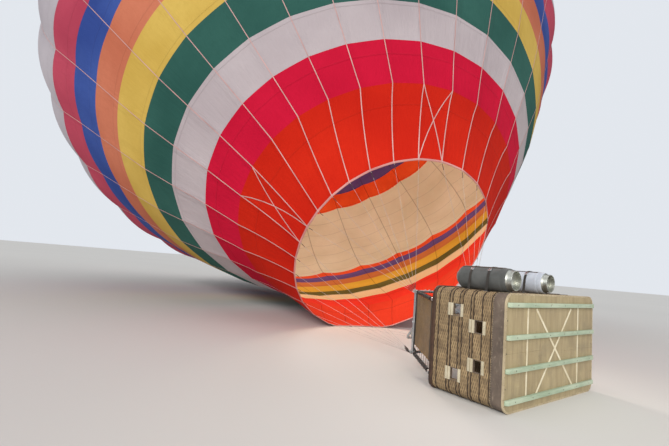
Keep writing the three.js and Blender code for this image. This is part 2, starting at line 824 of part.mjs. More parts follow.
function wire_fan({ x, z, first }) {
  const half = SHACKLE.wide / 2;
  const seat_y = FRAME.y + FRAME.tube + SEAT;
  const pieces = [block([x - half, seat_y, z - half], [x + half, seat_y + SHACKLE.deep, z + half])];
  const hub = new THREE.Vector3(x, seat_y + SHACKLE.deep / 2, z);
  const middle_wire = (WIRES_PER_CORNER - 1) / 2;
  const first_end = cloth_point(-HEM.wide, first);
  const last_end = cloth_point(-HEM.wide, first + WIRES_PER_CORNER - 1);
  const row_of_starts = last_end.sub(first_end).setY(0).normalize();
  for (let tape = first; tape < first + WIRES_PER_CORNER; tape += 1) {
    const lip = cloth_point(-HEM.wide, tape, FABRIC / 2);
    const out = outward(-HEM.wide, tape);
    const up = cloth_point(0, tape, FABRIC / 2).sub(lip).normalize();
    const across = new THREE.Vector3().crossVectors(up, out).normalize();
    const square_out = new THREE.Vector3().crossVectors(across, up).normalize();
    const eye = new THREE.BoxGeometry(EYE.wide, EYE.long, EYE.thick);
    eye.applyMatrix4(new THREE.Matrix4().makeBasis(across, up, square_out));
    const middle = lip.clone().addScaledVector(up, -EYE.gap - EYE.long / 2);
    eye.translate(middle.x, middle.y, middle.z);
    pieces.push(eye);
    const sideways = (tape - first - middle_wire) * WIRE_SPACING;
    const start = hub.clone().addScaledVector(row_of_starts, sideways);
    pieces.push(rod(start, middle, WIRE_RADIUS, 4));
  }
  return joined(pieces);
}
for (const wires of wire_corners) {
  add(wires.name, wire_fan(wires), steel);
}

// The origin goes to the middle of the envelope

const lift = on_axis(CENTRE_ALONG);
balloon.position.set(-lift.x, -lift.y, -lift.z);
balloon.updateMatrixWorld(true);

export default balloon;
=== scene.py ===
# A hot air balloon as it is being filled: wicker basket on its side, burner tipped up
# at the mouth, striped envelope rising behind. All sizes are metres in the frame's axes:
# +X along the basket, +Y from its floor board to its rim, +Z up.

import json
import math

import bpy
import numpy as np
from mathutils import Matrix, Vector


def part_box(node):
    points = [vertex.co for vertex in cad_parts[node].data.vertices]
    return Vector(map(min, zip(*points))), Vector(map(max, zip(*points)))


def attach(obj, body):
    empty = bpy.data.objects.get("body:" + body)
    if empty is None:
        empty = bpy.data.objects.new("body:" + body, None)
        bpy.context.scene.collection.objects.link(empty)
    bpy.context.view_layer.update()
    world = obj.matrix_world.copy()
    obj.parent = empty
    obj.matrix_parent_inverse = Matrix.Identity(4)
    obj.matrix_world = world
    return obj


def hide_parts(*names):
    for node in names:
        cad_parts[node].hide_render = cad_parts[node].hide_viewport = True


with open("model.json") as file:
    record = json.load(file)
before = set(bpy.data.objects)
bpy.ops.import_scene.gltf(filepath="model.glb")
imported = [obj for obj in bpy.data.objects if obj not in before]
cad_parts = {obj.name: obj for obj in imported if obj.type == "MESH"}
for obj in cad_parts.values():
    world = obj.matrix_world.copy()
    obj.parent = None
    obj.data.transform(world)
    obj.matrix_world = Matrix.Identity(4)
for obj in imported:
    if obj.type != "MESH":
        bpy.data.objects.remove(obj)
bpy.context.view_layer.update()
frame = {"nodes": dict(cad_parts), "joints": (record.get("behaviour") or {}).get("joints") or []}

# Places taken from the frame

CORNER, BOARD_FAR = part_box("basket_floor")
FLOOR_HEIGHT = CORNER.z
AXIS = -Vector(next(j["axis"] for j in frame["joints"] if j["name"] == "vent_slide"))
AXIS.normalize()


def site(x, y, z):
    """A place counted from the corner of the basket's floor board on the ground."""
    return CORNER + Vector((x, y, z))


# The envelope's driving sizes

GORES = 28
CENTRE_ALONG = 15.47
WIDEST_RADIUS = 11.536
LOWER_DEPTH = 11.42
UPPER_DEPTH = 10.0
FIRST_TAPE = math.radians(-1.2)
OVAL = {"share": 0.05, "toward": math.radians(-18.4)}
MOUTH_OVAL = 0.058
MOUTH_SHIFT = {"side": -0.225, "up": 0.065}
GATHER = {"share": 0.058, "toward": math.radians(-15.6)}
MOUTH_GATHER = {"share": 0.174, "toward": math.radians(-57)}
LEAN_TOWARD = math.radians(8.5)
GROUND_CLEAR = 0.012
HEM = 0.04
VENT_OPENING = 3.3
FABRIC = 0.01
TAPE_WIDTH = 0.024

ROUND_START = 9.461
RINGS = [
    # distance along the axis from the mouth, radius, lean along the axis
    (0.0, 2.570, 0.0),
    (1.830, 3.776, 0.211),
    (2.827, 4.602, 0.157),
    (3.847, 5.509, 0.0),
    (4.845, 6.363, 0.0),
    (6.023, 7.252, 0.0),
    (7.138, 8.069, 0.0),
    (8.310, 8.926, 0.0),
    (ROUND_START, WIDEST_RADIUS * math.sqrt(1 - ((ROUND_START - CENTRE_ALONG) / LOWER_DEPTH) ** 2), 0.0),
]
RING_ALONG, RING_RADIUS, RING_LEAN = (np.array(column) for column in zip(*RINGS))
THROAT_END = RINGS[1][0]

# How far a panel bulges, as a share of its width: pulled flat near the mouth, filled higher up
BULGES = [
    # distance along the axis, share
    (3.9, -0.025),
    (6.05, 0.0),
    (8.4, 0.03),
    (9.5, 0.06),
    (12.0, 0.07),
]
BULGE_ALONG, BULGE_SHARE = (np.array(column) for column in zip(*BULGES))

SIDE = AXIS.cross(Vector((0, 0, 1))).normalized()
UP_SLOPE = SIDE.cross(AXIS)
MOUTH = -CENTRE_ALONG * AXIS


def along_at(radius):
    """How far along the axis the upper part has this radius."""
    return CENTRE_ALONG + UPPER_DEPTH * np.sqrt(1 - (radius / WIDEST_RADIUS) ** 2)


def radius_at(along):
    depth = np.where(along < CENTRE_ALONG, LOWER_DEPTH, UPPER_DEPTH)
    share = np.clip((along - CENTRE_ALONG) / depth, -1, 1)
    rounded = WIDEST_RADIUS * np.sqrt(1 - share**2)
    slope = (RING_RADIUS[1] - RING_RADIUS[0]) / THROAT_END
    straight = np.interp(along, RING_ALONG, RING_RADIUS) + np.minimum(along, 0) * slope
    return np.where(along < ROUND_START, straight, rounded)


def gathered(angle, gather):
    return angle - gather["share"] * np.sin(angle - gather["toward"])


def base_surface(along, gore):
    """Points of the cloth with no bulge: along in metres, gore counted round in panels."""
    plain = FIRST_TAPE - gore * 2 * math.pi / GORES
    near_mouth = np.clip(1 - along / THROAT_END, 0, 1)
    angle = gathered(plain, GATHER) * (1 - near_mouth) + gathered(plain, MOUTH_GATHER) * near_mouth
    squash = -OVAL["share"] * np.cos(2 * (angle - OVAL["toward"]))
    stretch = MOUTH_OVAL * np.cos(2 * angle)
    lean = np.interp(along, RING_ALONG, RING_LEAN)
    on_axis = along + lean * np.cos(angle - LEAN_TOWARD)
    radius = radius_at(on_axis) * (1 + squash * (1 - near_mouth) + stretch * near_mouth)
    across = radius * np.sin(angle) + near_mouth * MOUTH_SHIFT["side"]
    upward = radius * np.cos(angle) + near_mouth * MOUTH_SHIFT["up"]
    place = np.array(MOUTH)
    place = place + on_axis[..., None] * np.array(AXIS)
    place = place + across[..., None] * np.array(SIDE)
    return place + upward[..., None] * np.array(UP_SLOPE)


def outward(along, gore):
    step = 0.04
    upwards = base_surface(along + step, gore) - base_surface(along - step, gore)
    round_it = base_surface(along, gore - 0.1) - base_surface(along, gore + 0.1)
    normal = np.cross(round_it, upwards)
    return normal / np.linalg.norm(normal, axis=-1, keepdims=True)


def cloth_surface(along, gore, depth=0.0, billow=None):
    """Points of the cloth, bulging between its tapes, depth metres in from its outside."""
    along, gore = np.broadcast_arrays(np.asarray(along, float), np.asarray(gore, float))
    if billow is None:
        billow = np.interp(along, BULGE_ALONG, BULGE_SHARE)
    part = gore - np.floor(gore)
    gore_width = 2 * math.pi * radius_at(along) / GORES
    bulge = billow * gore_width * 4 * part * (1 - part)
    normal = outward(along, gore)
    place = base_surface(along, gore) + normal * bulge[..., None]
    place[..., 2] = np.maximum(place[..., 2], FLOOR_HEIGHT + GROUND_CLEAR)
    return place - normal * depth


# Small modelling steps that many pieces share


def start_clean():
    if bpy.context.object and bpy.context.object.mode != "OBJECT":
        bpy.ops.object.mode_set(mode="OBJECT")
    bpy.ops.object.select_all(action="DESELECT")


def pick(piece):
    start_clean()
    piece.select_set(True)
    bpy.context.view_layer.objects.active = piece


def settle(piece):
    """Puts the piece's place, turn and size into its mesh."""
    pick(piece)
    bpy.ops.object.transform_apply(location=True, rotation=True, scale=True)


def modify(piece, kind, **settings):
    pick(piece)
    modifier = piece.modifiers.new(kind.lower(), kind)
    for key, value in settings.items():
        setattr(modifier, key, value)
    bpy.ops.object.modifier_apply(modifier=modifier.name)


def named(piece, name):
    piece.name = name
    piece.data.name = name
    return piece


def smooth(piece, degrees=40):
    pick(piece)
    bpy.ops.object.shade_smooth_by_angle(angle=math.radians(degrees))
    return piece


def edit_all(piece, *steps):
    """Runs edit-mode steps on the whole piece. Each step is an operator and its settings."""
    pick(piece)
    bpy.ops.object.mode_set(mode="EDIT")
    bpy.ops.mesh.select_mode(type="VERT")
    bpy.ops.mesh.select_all(action="SELECT")
    for step, settings in steps:
        step(**settings)
    bpy.ops.object.mode_set(mode="OBJECT")
    return piece


def close_seams(piece, gap=0.0002):
    return edit_all(piece, (bpy.ops.mesh.remove_doubles, {"threshold": gap}))


def face_out(piece):
    return edit_all(piece, (bpy.ops.mesh.normals_make_consistent, {"inside": False}))


def joined(name, pieces):
    start_clean()
    for piece in pieces:
        piece.select_set(True)
    bpy.context.view_layer.objects.active = pieces[0]
    if len(pieces) > 1:
        bpy.ops.object.join()
    return named(pieces[0], name)


def twins(name, piece, turns):
    """Copies of one small piece, each moved and turned by its own matrix, joined into one."""
    made = []
    for turn in turns:
        twin = piece.copy()
        twin.data = piece.data.copy()
        bpy.context.scene.collection.objects.link(twin)
        twin.data.transform(turn)
        made.append(twin)
    bpy.data.objects.remove(piece)
    return joined(name, made)


def upright_to(place, along, spin=0.0):
    """The matrix that takes a piece standing on the origin along Z to a place and a direction."""
    turn = Vector(along).to_track_quat("Z", "Y").to_matrix().to_4x4()
    return Matrix.Translation(place) @ turn @ Matrix.Rotation(spin, 4, "Z")


def laid_grid(name, points, chart):
    """A sheet of quads through rows and columns of points, with its UV map given at each."""
    rows, columns = points.shape[:2]
    start_clean()
    bpy.ops.mesh.primitive_grid_add(x_subdivisions=columns - 1, y_subdivisions=rows - 1, calc_uvs=True)
    piece = named(bpy.context.object, name)
    mesh = piece.data
    mesh.vertices.foreach_set("co", points.reshape(-1))
    corners = np.empty(len(mesh.loops), int)
    mesh.loops.foreach_get("vertex_index", corners)
    mesh.uv_layers.active.data.foreach_set("uv", chart.reshape(-1, 2)[corners].reshape(-1))
    mesh.update()
    return piece


def ring_solid(name, points, round_it, across):
    """A closed ring from a loop of profiles. round_it and across give the UV map in metres."""
    points = np.concatenate([points, points[:1]])
    points = np.concatenate([points, points[:, :1]], axis=1).transpose(1, 0, 2)
    rows, columns = points.shape[:2]
    u, v = np.meshgrid(np.linspace(0, round_it, columns), np.linspace(0, across, rows))
    return face_out(close_seams(laid_grid(name, points, np.stack([u, v], axis=-1)), 0.00005))


def cuboid(name, low, high, bevel=0.002, segments=2):
    start_clean()
    low, high = Vector(low), Vector(high)
    bpy.ops.mesh.primitive_cube_add(size=1, location=(low + high) / 2, scale=high - low)
    piece = named(bpy.context.object, name)
    settle(piece)
    if bevel:
        modify(piece, "BEVEL", width=bevel, segments=segments, limit_method="ANGLE")
    return smooth(piece)


def bar(name, start, end, radius, sides=16, bevel=0.0, end_radius=None):
    """A round bar or cone from start to end, with its rims bevelled."""
    start_clean()
    start, end = Vector(start), Vector(end)
    bpy.ops.mesh.primitive_cone_add(
        vertices=sides,
        radius1=radius,
        radius2=radius if end_radius is None else end_radius,
        depth=(end - start).length,
    )
    piece = named(bpy.context.object, name)
    piece.data.transform(upright_to((start + end) / 2, end - start))
    if bevel:
        modify(piece, "BEVEL", width=bevel, segments=2, limit_method="ANGLE")
    return smooth(piece)


def turned(name, profile, place=(0, 0, 0), along=(0, 0, 1), steps=40):
    """A shape turned about a line: a point is drawn out along (radius, height) pairs and spun."""
    start_clean()
    bpy.ops.mesh.primitive_plane_add(size=0.01)
    piece = named(bpy.context.object, name)
    bpy.ops.object.mode_set(mode="EDIT")
    bpy.ops.mesh.select_mode(type="VERT")
    bpy.ops.mesh.select_all(action="SELECT")
    bpy.ops.mesh.merge(type="CENTER")
    here = (0.0, 0.0)
    for index, there in enumerate(profile):
        step = (there[0] - here[0], 0, there[1] - here[1])
        if index == 0:
            bpy.ops.transform.translate(value=step)
        else:
            bpy.ops.mesh.extrude_vertices_move(TRANSFORM_OT_translate={"value": step})
        here = there
    bpy.ops.mesh.select_all(action="SELECT")
    bpy.ops.mesh.spin(steps=steps, angle=2 * math.pi, center=(0, 0, 0), axis=(0, 0, 1))
    bpy.ops.mesh.select_all(action="SELECT")
    bpy.ops.mesh.remove_doubles(threshold=0.00005)
    bpy.ops.mesh.normals_make_consistent(inside=False)
    bpy.ops.object.mode_set(mode="OBJECT")
    piece.data.transform(upright_to(place, along))
    return smooth(piece, 35)


def drawn_tube(name, points, radius, sides=8, closed=False):
    """A round tube that follows a line of points, its ends closed."""
    line = bpy.data.curves.new(name, "CURVE")
    line.dimensions = "3D"
    line.bevel_depth = radius
    line.bevel_resolution = max(0, sides // 4 - 1)
    line.use_fill_caps = True
    spline = line.splines.new("POLY")
    spline.points.add(len(points) - 1)
    for corner, place in zip(spline.points, points):
        corner.co = (*place, 1)
    spline.use_cyclic_u = closed
    spline.use_smooth = True
    piece = bpy.data.objects.new(name, line)
    bpy.context.scene.collection.objects.link(piece)
    pick(piece)
    bpy.ops.object.convert(target="MESH")
    piece = named(bpy.context.object, name)
    return smooth(close_seams(piece, 0.00002), 50)


def finish_piece(piece, body, slot, *materials, replaces=()):
    if materials:
        piece.data.materials.clear()
    for material in materials:
        piece.data.materials.append(material)
    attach(piece, body)
    if replaces:
        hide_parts(*replaces)


# Colours and the building of materials


def tone(code):
    """A colour written as on a paint chart, as the linear values that the shaders take."""
    channels = [((code >> shift) & 255) / 255 for shift in (16, 8, 0)]
    linear = [c / 12.92 if c <= 0.04045 else ((c + 0.055) / 1.055) ** 2.4 for c in channels]
    return (*linear, 1.0)


class Shader:
    """A material and the few node steps that all the finishes here are made of."""

    def __init__(self, name):
        self.material = bpy.data.materials.new(name)
        self.material.use_nodes = True
        self.nodes = self.material.node_tree.nodes
        self.links = self.material.node_tree.links
        self.surface = self.nodes["Principled BSDF"]
        self.coordinates = self.nodes.new("ShaderNodeTexCoord")

    def add(self, kind, inputs=None, **settings):
        node = self.nodes.new("ShaderNode" + kind)
        for key, value in settings.items():
            setattr(node, key, value)
        for socket, value in (inputs or {}).items():
            self.put(node, socket, value)
        return node

    def put(self, node, socket, value):
        if isinstance(value, bpy.types.NodeSocket):
            self.links.new(value, node.inputs[socket])
        else:
            node.inputs[socket].default_value = value

    def math(self, operation, first, second=0.0, clamp=False):
        node = self.add("Math", {0: first, 1: second}, operation=operation, use_clamp=clamp)
        return node.outputs[0]

    def place(self, scale=(1, 1, 1), uv=False):
        source = self.coordinates.outputs["UV" if uv else "Object"]
        return self.add("Mapping", {"Vector": source, "Scale": scale}).outputs[0]

    def noise(self, vector, scale, detail=3.0, roughness=0.5):
        inputs = {"Vector": vector, "Scale": scale, "Detail": detail, "Roughness": roughness}
        return self.add("TexNoise", inputs).outputs["Fac"]

    def fade(self, value, low, high, to_low=0.0, to_high=1.0):
        inputs = {"Value": value, "From Min": low, "From Max": high, "To Min": to_low, "To Max": to_high}
        return self.add("MapRange", inputs).outputs[0]

    def blend(self, share, first, second, how="MIX"):
        node = self.add("Mix", data_type="RGBA", blend_type=how)
        self.put(node, 0, share)
        self.put(node, 6, first)
        self.put(node, 7, second)
        return node.outputs[2]

    def bump(self, height, strength, distance):
        node = self.add("Bump", {"Height": height, "Strength": strength, "Distance": distance})
        self.links.new(node.outputs[0], self.surface.inputs["Normal"])

    def finish(self, **inputs):
        for socket, value in inputs.items():
            self.put(self.surface, socket.replace("_", " "), value)
        return self.material


# Envelope cloth. Its pattern follows the cloth: U counts panels round, V metres along.

SEAM_EVERY = 1.25


def cloth_finish(name, colour, deep, seam_shade=0.1, tape_shadow_share=0.0):
    shader = Shader(name)
    split = shader.add("SeparateXYZ", {0: shader.coordinates.outputs["UV"]})
    panel, along = split.outputs[0], split.outputs[1]
    in_panel = shader.math("FRACT", panel)
    from_tape = shader.math("MULTIPLY", shader.math("PINGPONG", in_panel, 0.5), 2.0)
    row = shader.math("FRACT", shader.math("DIVIDE", along, SEAM_EVERY))
    from_seam = shader.math("PINGPONG", row, 0.5)
    seam = shader.fade(from_seam, 0.0, 0.02, 1.0, 0.0)
    gather = shader.fade(from_tape, 0.0, 0.35, 1.0, 0.0)
    stretched = shader.place((5.0, 0.8, 1.0), uv=True)
    pulls = shader.noise(stretched, 2.2, 4.0, 0.6)
    broad = shader.noise(shader.place((1, 1, 1)), 0.35, 3.0)
    mottle = shader.noise(shader.place((1, 1, 1)), 6.0, 5.0, 0.65)
    shade = shader.blend(shader.fade(broad, 0.35, 0.65), tone(colour), tone(deep))
    shade = shader.blend(shader.fade(mottle, 0.4, 0.7, 0.0, 0.25), shade, tone(deep))
    # Painted shadow: a dark line along each load tape, the tape's shadow seen through the cloth. The seam
    # lines are partly the seams' own colour and, drawn stronger on the inside, partly painted shadow.
    painted_tape_shadow = shader.fade(from_tape, 0.008, 0.03, tape_shadow_share, 0.0)
    seam_and_tape_shadow = shader.math("MAXIMUM", shader.math("MULTIPLY", seam, seam_shade), painted_tape_shadow)
    shade = shader.blend(seam_and_tape_shadow, shade, tone(0x3A1D14))
    height = shader.math("MULTIPLY", pulls, shader.math("ADD", shader.math("MULTIPLY", gather, 0.8), 0.35))
    height = shader.math("ADD", height, shader.math("MULTIPLY", seam, 0.25))
    shader.bump(height, 0.55, 0.08)
    return shader.finish(Base_Color=shade, Roughness=0.75, Specular_IOR_Level=0.04)


CLOTH_COLOURS = {
    # name: outside, outside in its deeper places, inside with painted light shining through the cloth, inside
    # in its deeper places with the same painted light
    "orange_red": (0xD22A16, 0xBF2012, 0xDC442A, 0xC8361E),
    "crimson": (0xD81C3E, 0xC21434, 0xE23A28, 0xD02C1C),
    "white": (0xCBBFC1, 0xBAADB0, 0xE6CDA4, 0xD8BC90),
    "green": (0x3C6A60, 0x2E5850, 0x66602E, 0x544E24),
    "yellow": (0xE2BF62, 0xD0AA4E, 0xDDAF40, 0xC89A30),
    "orange": (0xD98264, 0xC87054, 0xCC7A44, 0xB86836),
    "blue": (0x4862AC, 0x384F96, 0x684F84, 0x584070),
    "rose": (0xCE566A, 0xBA465C, 0xEE5A2C, 0xDA4820),
    "wide_white": (0xC6BEC3, 0xB5ADB3, 0xE0D9BE, 0xD2C9AB),
}


def cloth_grid(name, alongs, gores, depth=0.0, billow=None):
    """A sheet laid on the envelope's cloth, its UV map in panels round and metres along."""
    along, gore = np.meshgrid(alongs, gores[::-1], indexing="ij")
    points = cloth_surface(along, gore, depth, billow)
    return laid_grid(name, points, np.stack([gore, along], axis=-1))


STEPS_PER_GORE = 10
RING_STEPS = np.linspace(0, GORES, GORES * STEPS_PER_GORE + 1)
ROW_LENGTH = 0.3
SEAM_GAP = 0.0002


def band_rows(start, end):
    """Where a band's rows of points lie along the axis. The load tapes take the same rows."""
    return np.linspace(start, end, max(2, round((end - start) / ROW_LENGTH)) + 1)


def band(node, start, end, colour):
    rows = band_rows(start, end)
    rows[0] += SEAM_GAP
    rows[-1] -= SEAM_GAP
    piece = cloth_grid(node + "_cloth", rows, RING_STEPS)
    close_seams(piece)
    line_inside(piece, colour, FABRIC)
    slot = "white_cloth" if colour == "wide_white" else colour + "_cloth"
    finish_piece(piece, "root", slot, replaces=[node])
    return piece


def line_inside(piece, colour, thickness):
    """Gives the cloth its thickness, one finish on its outside and the other on its inside, whose colours
    carry painted light shining through the cloth.
    """
    for material in CLOTHS[colour]:
        piece.data.materials.append(material)
    modify(piece, "SOLIDIFY", thickness=thickness, offset=-1, material_offset=1, material_offset_rim=0)
    smooth(piece, 60)


# The inside finishes are painted with the light that shines through the cloth, with stronger seam lines and
# dark lines along the load tapes as painted shadows.
CLOTHS = {
    colour: (
        cloth_finish(colour + "_outside", *tones[:2]),
        cloth_finish(colour + "_inside", *tones[2:], seam_shade=0.42, tape_shadow_share=0.45),
    )
    for colour, tones in CLOTH_COLOURS.items()
}

WIDE_WHITE_END = 17.39
BANDS = [
    # node, where it ends along the axis, colour
    ("band_01_throat", RINGS[1][0], "orange_red"),
    ("band_02_crimson", RINGS[2][0], "crimson"),
    ("band_03_white", RINGS[3][0], "white"),
    ("band_04_green", RINGS[4][0], "green"),
    ("band_05_yellow", RINGS[5][0], "yellow"),
    ("band_06_orange", RINGS[6][0], "orange"),
    ("band_07_blue", RINGS[7][0], "blue"),
    ("band_08_rose", ROUND_START, "rose"),
    ("band_09_wide_white", WIDE_WHITE_END, "wide_white"),
    ("band_10_rose", 18.71, "rose"),
    ("band_11_blue", 20.0, "blue"),
    ("band_12_orange", 21.05, "orange"),
    ("band_13_yellow", along_at(8.3), "yellow"),
    ("band_14_green", along_at(7.3), "green"),
    ("band_15_white", along_at(6.25), "white"),
    ("band_16_crimson", along_at(5.15), "crimson"),
    ("band_17_crown", along_at(VENT_OPENING), "orange_red"),
]

tape_rows = [np.array([-HEM])]
band_start = 0.0
for node, band_end, colour in BANDS:
    band(node, band_start, band_end, colour)
    tape_rows.append(band_rows(band_start, band_end))
    band_start = band_end
TAPE_ALONGS = np.unique(np.concatenate(tape_rows))

# Load tapes along the panels' seams, on the cloth's outside


def tape_finish(name, colour, deep):
    shader = Shader(name)
    split = shader.add("SeparateXYZ", {0: shader.coordinates.outputs["UV"]})
    ribs = shader.math("SINE", shader.math("MULTIPLY", split.outputs[1], 900.0))
    wear = shader.noise(shader.place((1, 1, 1)), 1.5, 4.0)
    shade = shader.blend(shader.fade(wear, 0.35, 0.7), tone(colour), tone(deep))
    shader.bump(ribs, 0.3, 0.002)
    return shader.finish(Base_Color=shade, Roughness=0.6)


TAPE_WEAVE = tape_finish("load_tape_weave", 0xDDB0AA, 0xC0928E)
LIP_WEAVE = tape_finish("lip_tape_weave", 0xD99A94, 0xBC7A76)
TAPE_PROUD = 0.006


def tape(name, alongs, centre_gores, width=TAPE_WIDTH, depth=-TAPE_PROUD):
    """A ribbon laid along the cloth. centre_gores gives its place round for each distance along."""
    widths = GORES * width / 2 / (2 * math.pi * radius_at(alongs))
    across = np.array([1.0, 0.0, -1.0])
    gore = centre_gores[:, None] + across[None, :] * widths[:, None]
    along = np.repeat(alongs[:, None], 3, axis=1)
    chart = np.stack([np.broadcast_to(across * width / 2, along.shape), along], axis=-1)
    return laid_grid(name, cloth_surface(along, gore, depth), chart)


def load_tapes():
    """One tape along each seam between two panels, its rows those of the cloth under it."""
    strips = []
    for number in range(GORES):
        strips.append(tape("tape", TAPE_ALONGS, np.full(len(TAPE_ALONGS), float(number))))
    tapes = joined("load_tapes", strips)
    modify(tapes, "SOLIDIFY", thickness=0.004, offset=-1)
    smooth(tapes)
    finish_piece(tapes, "root", "load_tape", TAPE_WEAVE)


load_tapes()

# Finishes of the basket, its burner and its rigging


def spun_lines(shader, value, spacing):
    """Fine parallel lines, spacing metres apart, from 0 to 1."""
    wave = shader.math("SINE", shader.math("MULTIPLY", value, 2 * math.pi / spacing))
    return shader.fade(wave, -1.0, 1.0)


def wicker_finish(name, stake, weaver, shader, light, middle, dark, depth):
    """Peeled willow, woven over and under its stakes, which stake and weaver count. Painted shade darkens the
    gaps between weavers and the places where a weaver goes behind a stake.
    """
    row = shader.math("FLOOR", weaver)
    phase = shader.math("MULTIPLY", shader.math("ADD", stake, row), math.pi)
    over = shader.fade(shader.math("COSINE", phase), -1.0, 1.0)
    rounded = shader.math("SINE", shader.math("MULTIPLY", shader.math("FRACT", weaver), math.pi))
    rod = shader.add("CombineXYZ", {0: shader.math("MULTIPLY", stake, 0.23), 1: row}).outputs[0]
    per_rod = shader.noise(rod, 1.7, 2.0, 0.6)
    blocks = shader.noise(shader.place((9, 5, 9)), 1.0, 3.0, 0.6)
    broad = shader.noise(shader.place(), 1.3, 4.0)
    fibres = shader.noise(shader.place((60, 260, 60)), 1.0, 4.0, 0.7)
    shade = shader.blend(shader.fade(per_rod, 0.32, 0.68), tone(middle), tone(light))
    shade = shader.blend(shader.fade(blocks, 0.42, 0.68, 0.0, 0.75), shade, tone(dark))
    shade = shader.blend(shader.fade(broad, 0.35, 0.7, 0.0, 0.45), shade, tone(middle))
    shade = shader.blend(shader.fade(fibres, 0.45, 0.75, 0.0, 0.35), shade, tone(dark))
    # Painted shade: darker in the gaps between weavers and where a weaver passes behind a stake.
    painted_gap_shade = shader.fade(rounded, 0.15, 0.75, 0.75, 0.0)
    behind = shader.fade(over, 0.05, 0.55, 0.55, 0.0)
    shade = shader.blend(shader.math("MAXIMUM", painted_gap_shade, behind), shade, tone(0x3C2D20))
    height = shader.math("MULTIPLY", shader.math("ADD", over, 0.35), rounded)
    height = shader.math("ADD", height, shader.math("MULTIPLY", fibres, 0.25))
    shader.bump(height, 0.7, depth)
    return shader.finish(Base_Color=shade, Roughness=shader.fade(per_rod, 0.3, 0.7, 0.5, 0.75))


WILLOW = {"light": 0xC2A87F, "middle": 0x9D8561, "dark": 0x6B5842}


def wall_wicker():
    """For the modelled weave, whose own map counts stakes and weavers."""
    shader = Shader("wall_wicker")
    split = shader.add("SeparateXYZ", {0: shader.coordinates.outputs["UV"]})
    return wicker_finish("wall_wicker", split.outputs[0], split.outputs[1], shader, **WILLOW, depth=0.002)


def board_wicker():
    """For the flat partitions: stakes every 50 mm along X and Z, weavers every 16 mm along Y."""
    shader = Shader("board_wicker")
    split = shader.add("SeparateXYZ", {0: shader.place()})
    stake = shader.math("MULTIPLY", shader.math("ADD", split.outputs[0], split.outputs[2]), 20.0)
    weaver = shader.math("MULTIPLY", split.outputs[1], 61.0)
    return wicker_finish("board_wicker", stake, weaver, shader, **WILLOW, depth=0.006)


def hide(name, colour, deep, worn, roughness=0.5, wear=0.6):
    """Leather: a pebbled grain, blotches, and rubbed places that are paler and duller."""
    shader = Shader(name)
    pebbles = shader.add("TexVoronoi", {"Vector": shader.place(), "Scale": 190.0}).outputs["Distance"]
    blotches = shader.noise(shader.place(), 4.0, 5.0, 0.6)
    rubs = shader.noise(shader.place((1, 2.5, 1)), 11.0, 6.0, 0.72)
    creases = shader.noise(shader.place((14, 60, 14)), 1.0, 3.0, 0.6)
    shade = shader.blend(shader.fade(blotches, 0.35, 0.65), tone(colour), tone(deep))
    shade = shader.blend(shader.fade(rubs, 0.55, 0.72, 0.0, wear), shade, tone(worn))
    shade = shader.blend(shader.fade(creases, 0.58, 0.75, 0.0, 0.4), shade, tone(deep))
    height = shader.math("ADD", shader.math("MULTIPLY", pebbles, 0.5), creases)
    shader.bump(height, 0.45, 0.002)
    return shader.finish(
        Base_Color=shade, Roughness=shader.fade(rubs, 0.4, 0.7, roughness, roughness + 0.25)
    )


def plank_finish():
    """Varnished plywood, its grain along Z, dirty and scratched."""
    shader = Shader("floor_plywood")
    grain = shader.noise(shader.place((38, 8, 2.2)), 1.0, 6.0, 0.65)
    rings = shader.noise(shader.place((7, 2, 0.8)), 1.0, 3.0)
    stains = shader.noise(shader.place(), 1.9, 5.0, 0.62)
    scratches = shader.noise(shader.place((5, 5, 160)), 1.0, 3.0, 0.75)
    shade = shader.blend(shader.fade(rings, 0.35, 0.65), tone(0xB0A07C), tone(0x9E8E6C))
    shade = shader.blend(shader.fade(grain, 0.42, 0.7, 0.0, 0.5), shade, tone(0x7C6A50))
    shade = shader.blend(shader.fade(stains, 0.52, 0.72, 0.0, 0.55), shade, tone(0x7A7160))
    shade = shader.blend(shader.fade(scratches, 0.63, 0.72, 0.0, 0.45), shade, tone(0xC0B59E))
    shader.bump(shader.math("ADD", grain, shader.math("MULTIPLY", scratches, 0.6)), 0.3, 0.0015)
    return shader.finish(Base_Color=shade, Roughness=shader.fade(stains, 0.3, 0.7, 0.42, 0.7))


def painted_wood(name, colour, deep, bare):
    """Paint on wood, chipped along its length."""
    shader = Shader(name)
    grain = shader.noise(shader.place((3, 60, 60)), 1.0, 5.0, 0.6)
    broad = shader.noise(shader.place((1, 3, 3)), 2.2, 4.0)
    chips = shader.noise(shader.place((6, 26, 26)), 1.0, 7.0, 0.75)
    shade = shader.blend(shader.fade(broad, 0.35, 0.65), tone(colour), tone(deep))
    chipped = shader.fade(chips, 0.61, 0.64)
    shade = shader.blend(shader.math("MULTIPLY", chipped, 0.85), shade, tone(bare))
    height = shader.math("MULTIPLY", shader.math("SUBTRACT", grain, chipped), 0.5)
    shader.bump(height, 0.45, 0.0015)
    return shader.finish(Base_Color=shade, Roughness=shader.fade(chips, 0.4, 0.66, 0.42, 0.8))


def metal(name, colour, roughness=0.25, stain=0x6E6A62, stained=0.35):
    """Bare steel with drawing lines, smears and a little tarnish."""
    shader = Shader(name)
    smears = shader.noise(shader.place(), 9.0, 5.0, 0.6)
    lines = shader.noise(shader.place((30, 600, 30)), 1.0, 2.0)
    spots = shader.noise(shader.place(), 55.0, 5.0, 0.7)
    shade = shader.blend(shader.fade(smears, 0.45, 0.75, 0.0, stained), tone(colour), tone(stain))
    shade = shader.blend(shader.fade(spots, 0.62, 0.75, 0.0, 0.5), shade, tone(stain))
    shader.bump(lines, 0.08, 0.001)
    worn = shader.fade(smears, 0.3, 0.7, roughness, roughness + 0.2)
    return shader.finish(Base_Color=shade, Metallic=1.0, Roughness=worn)


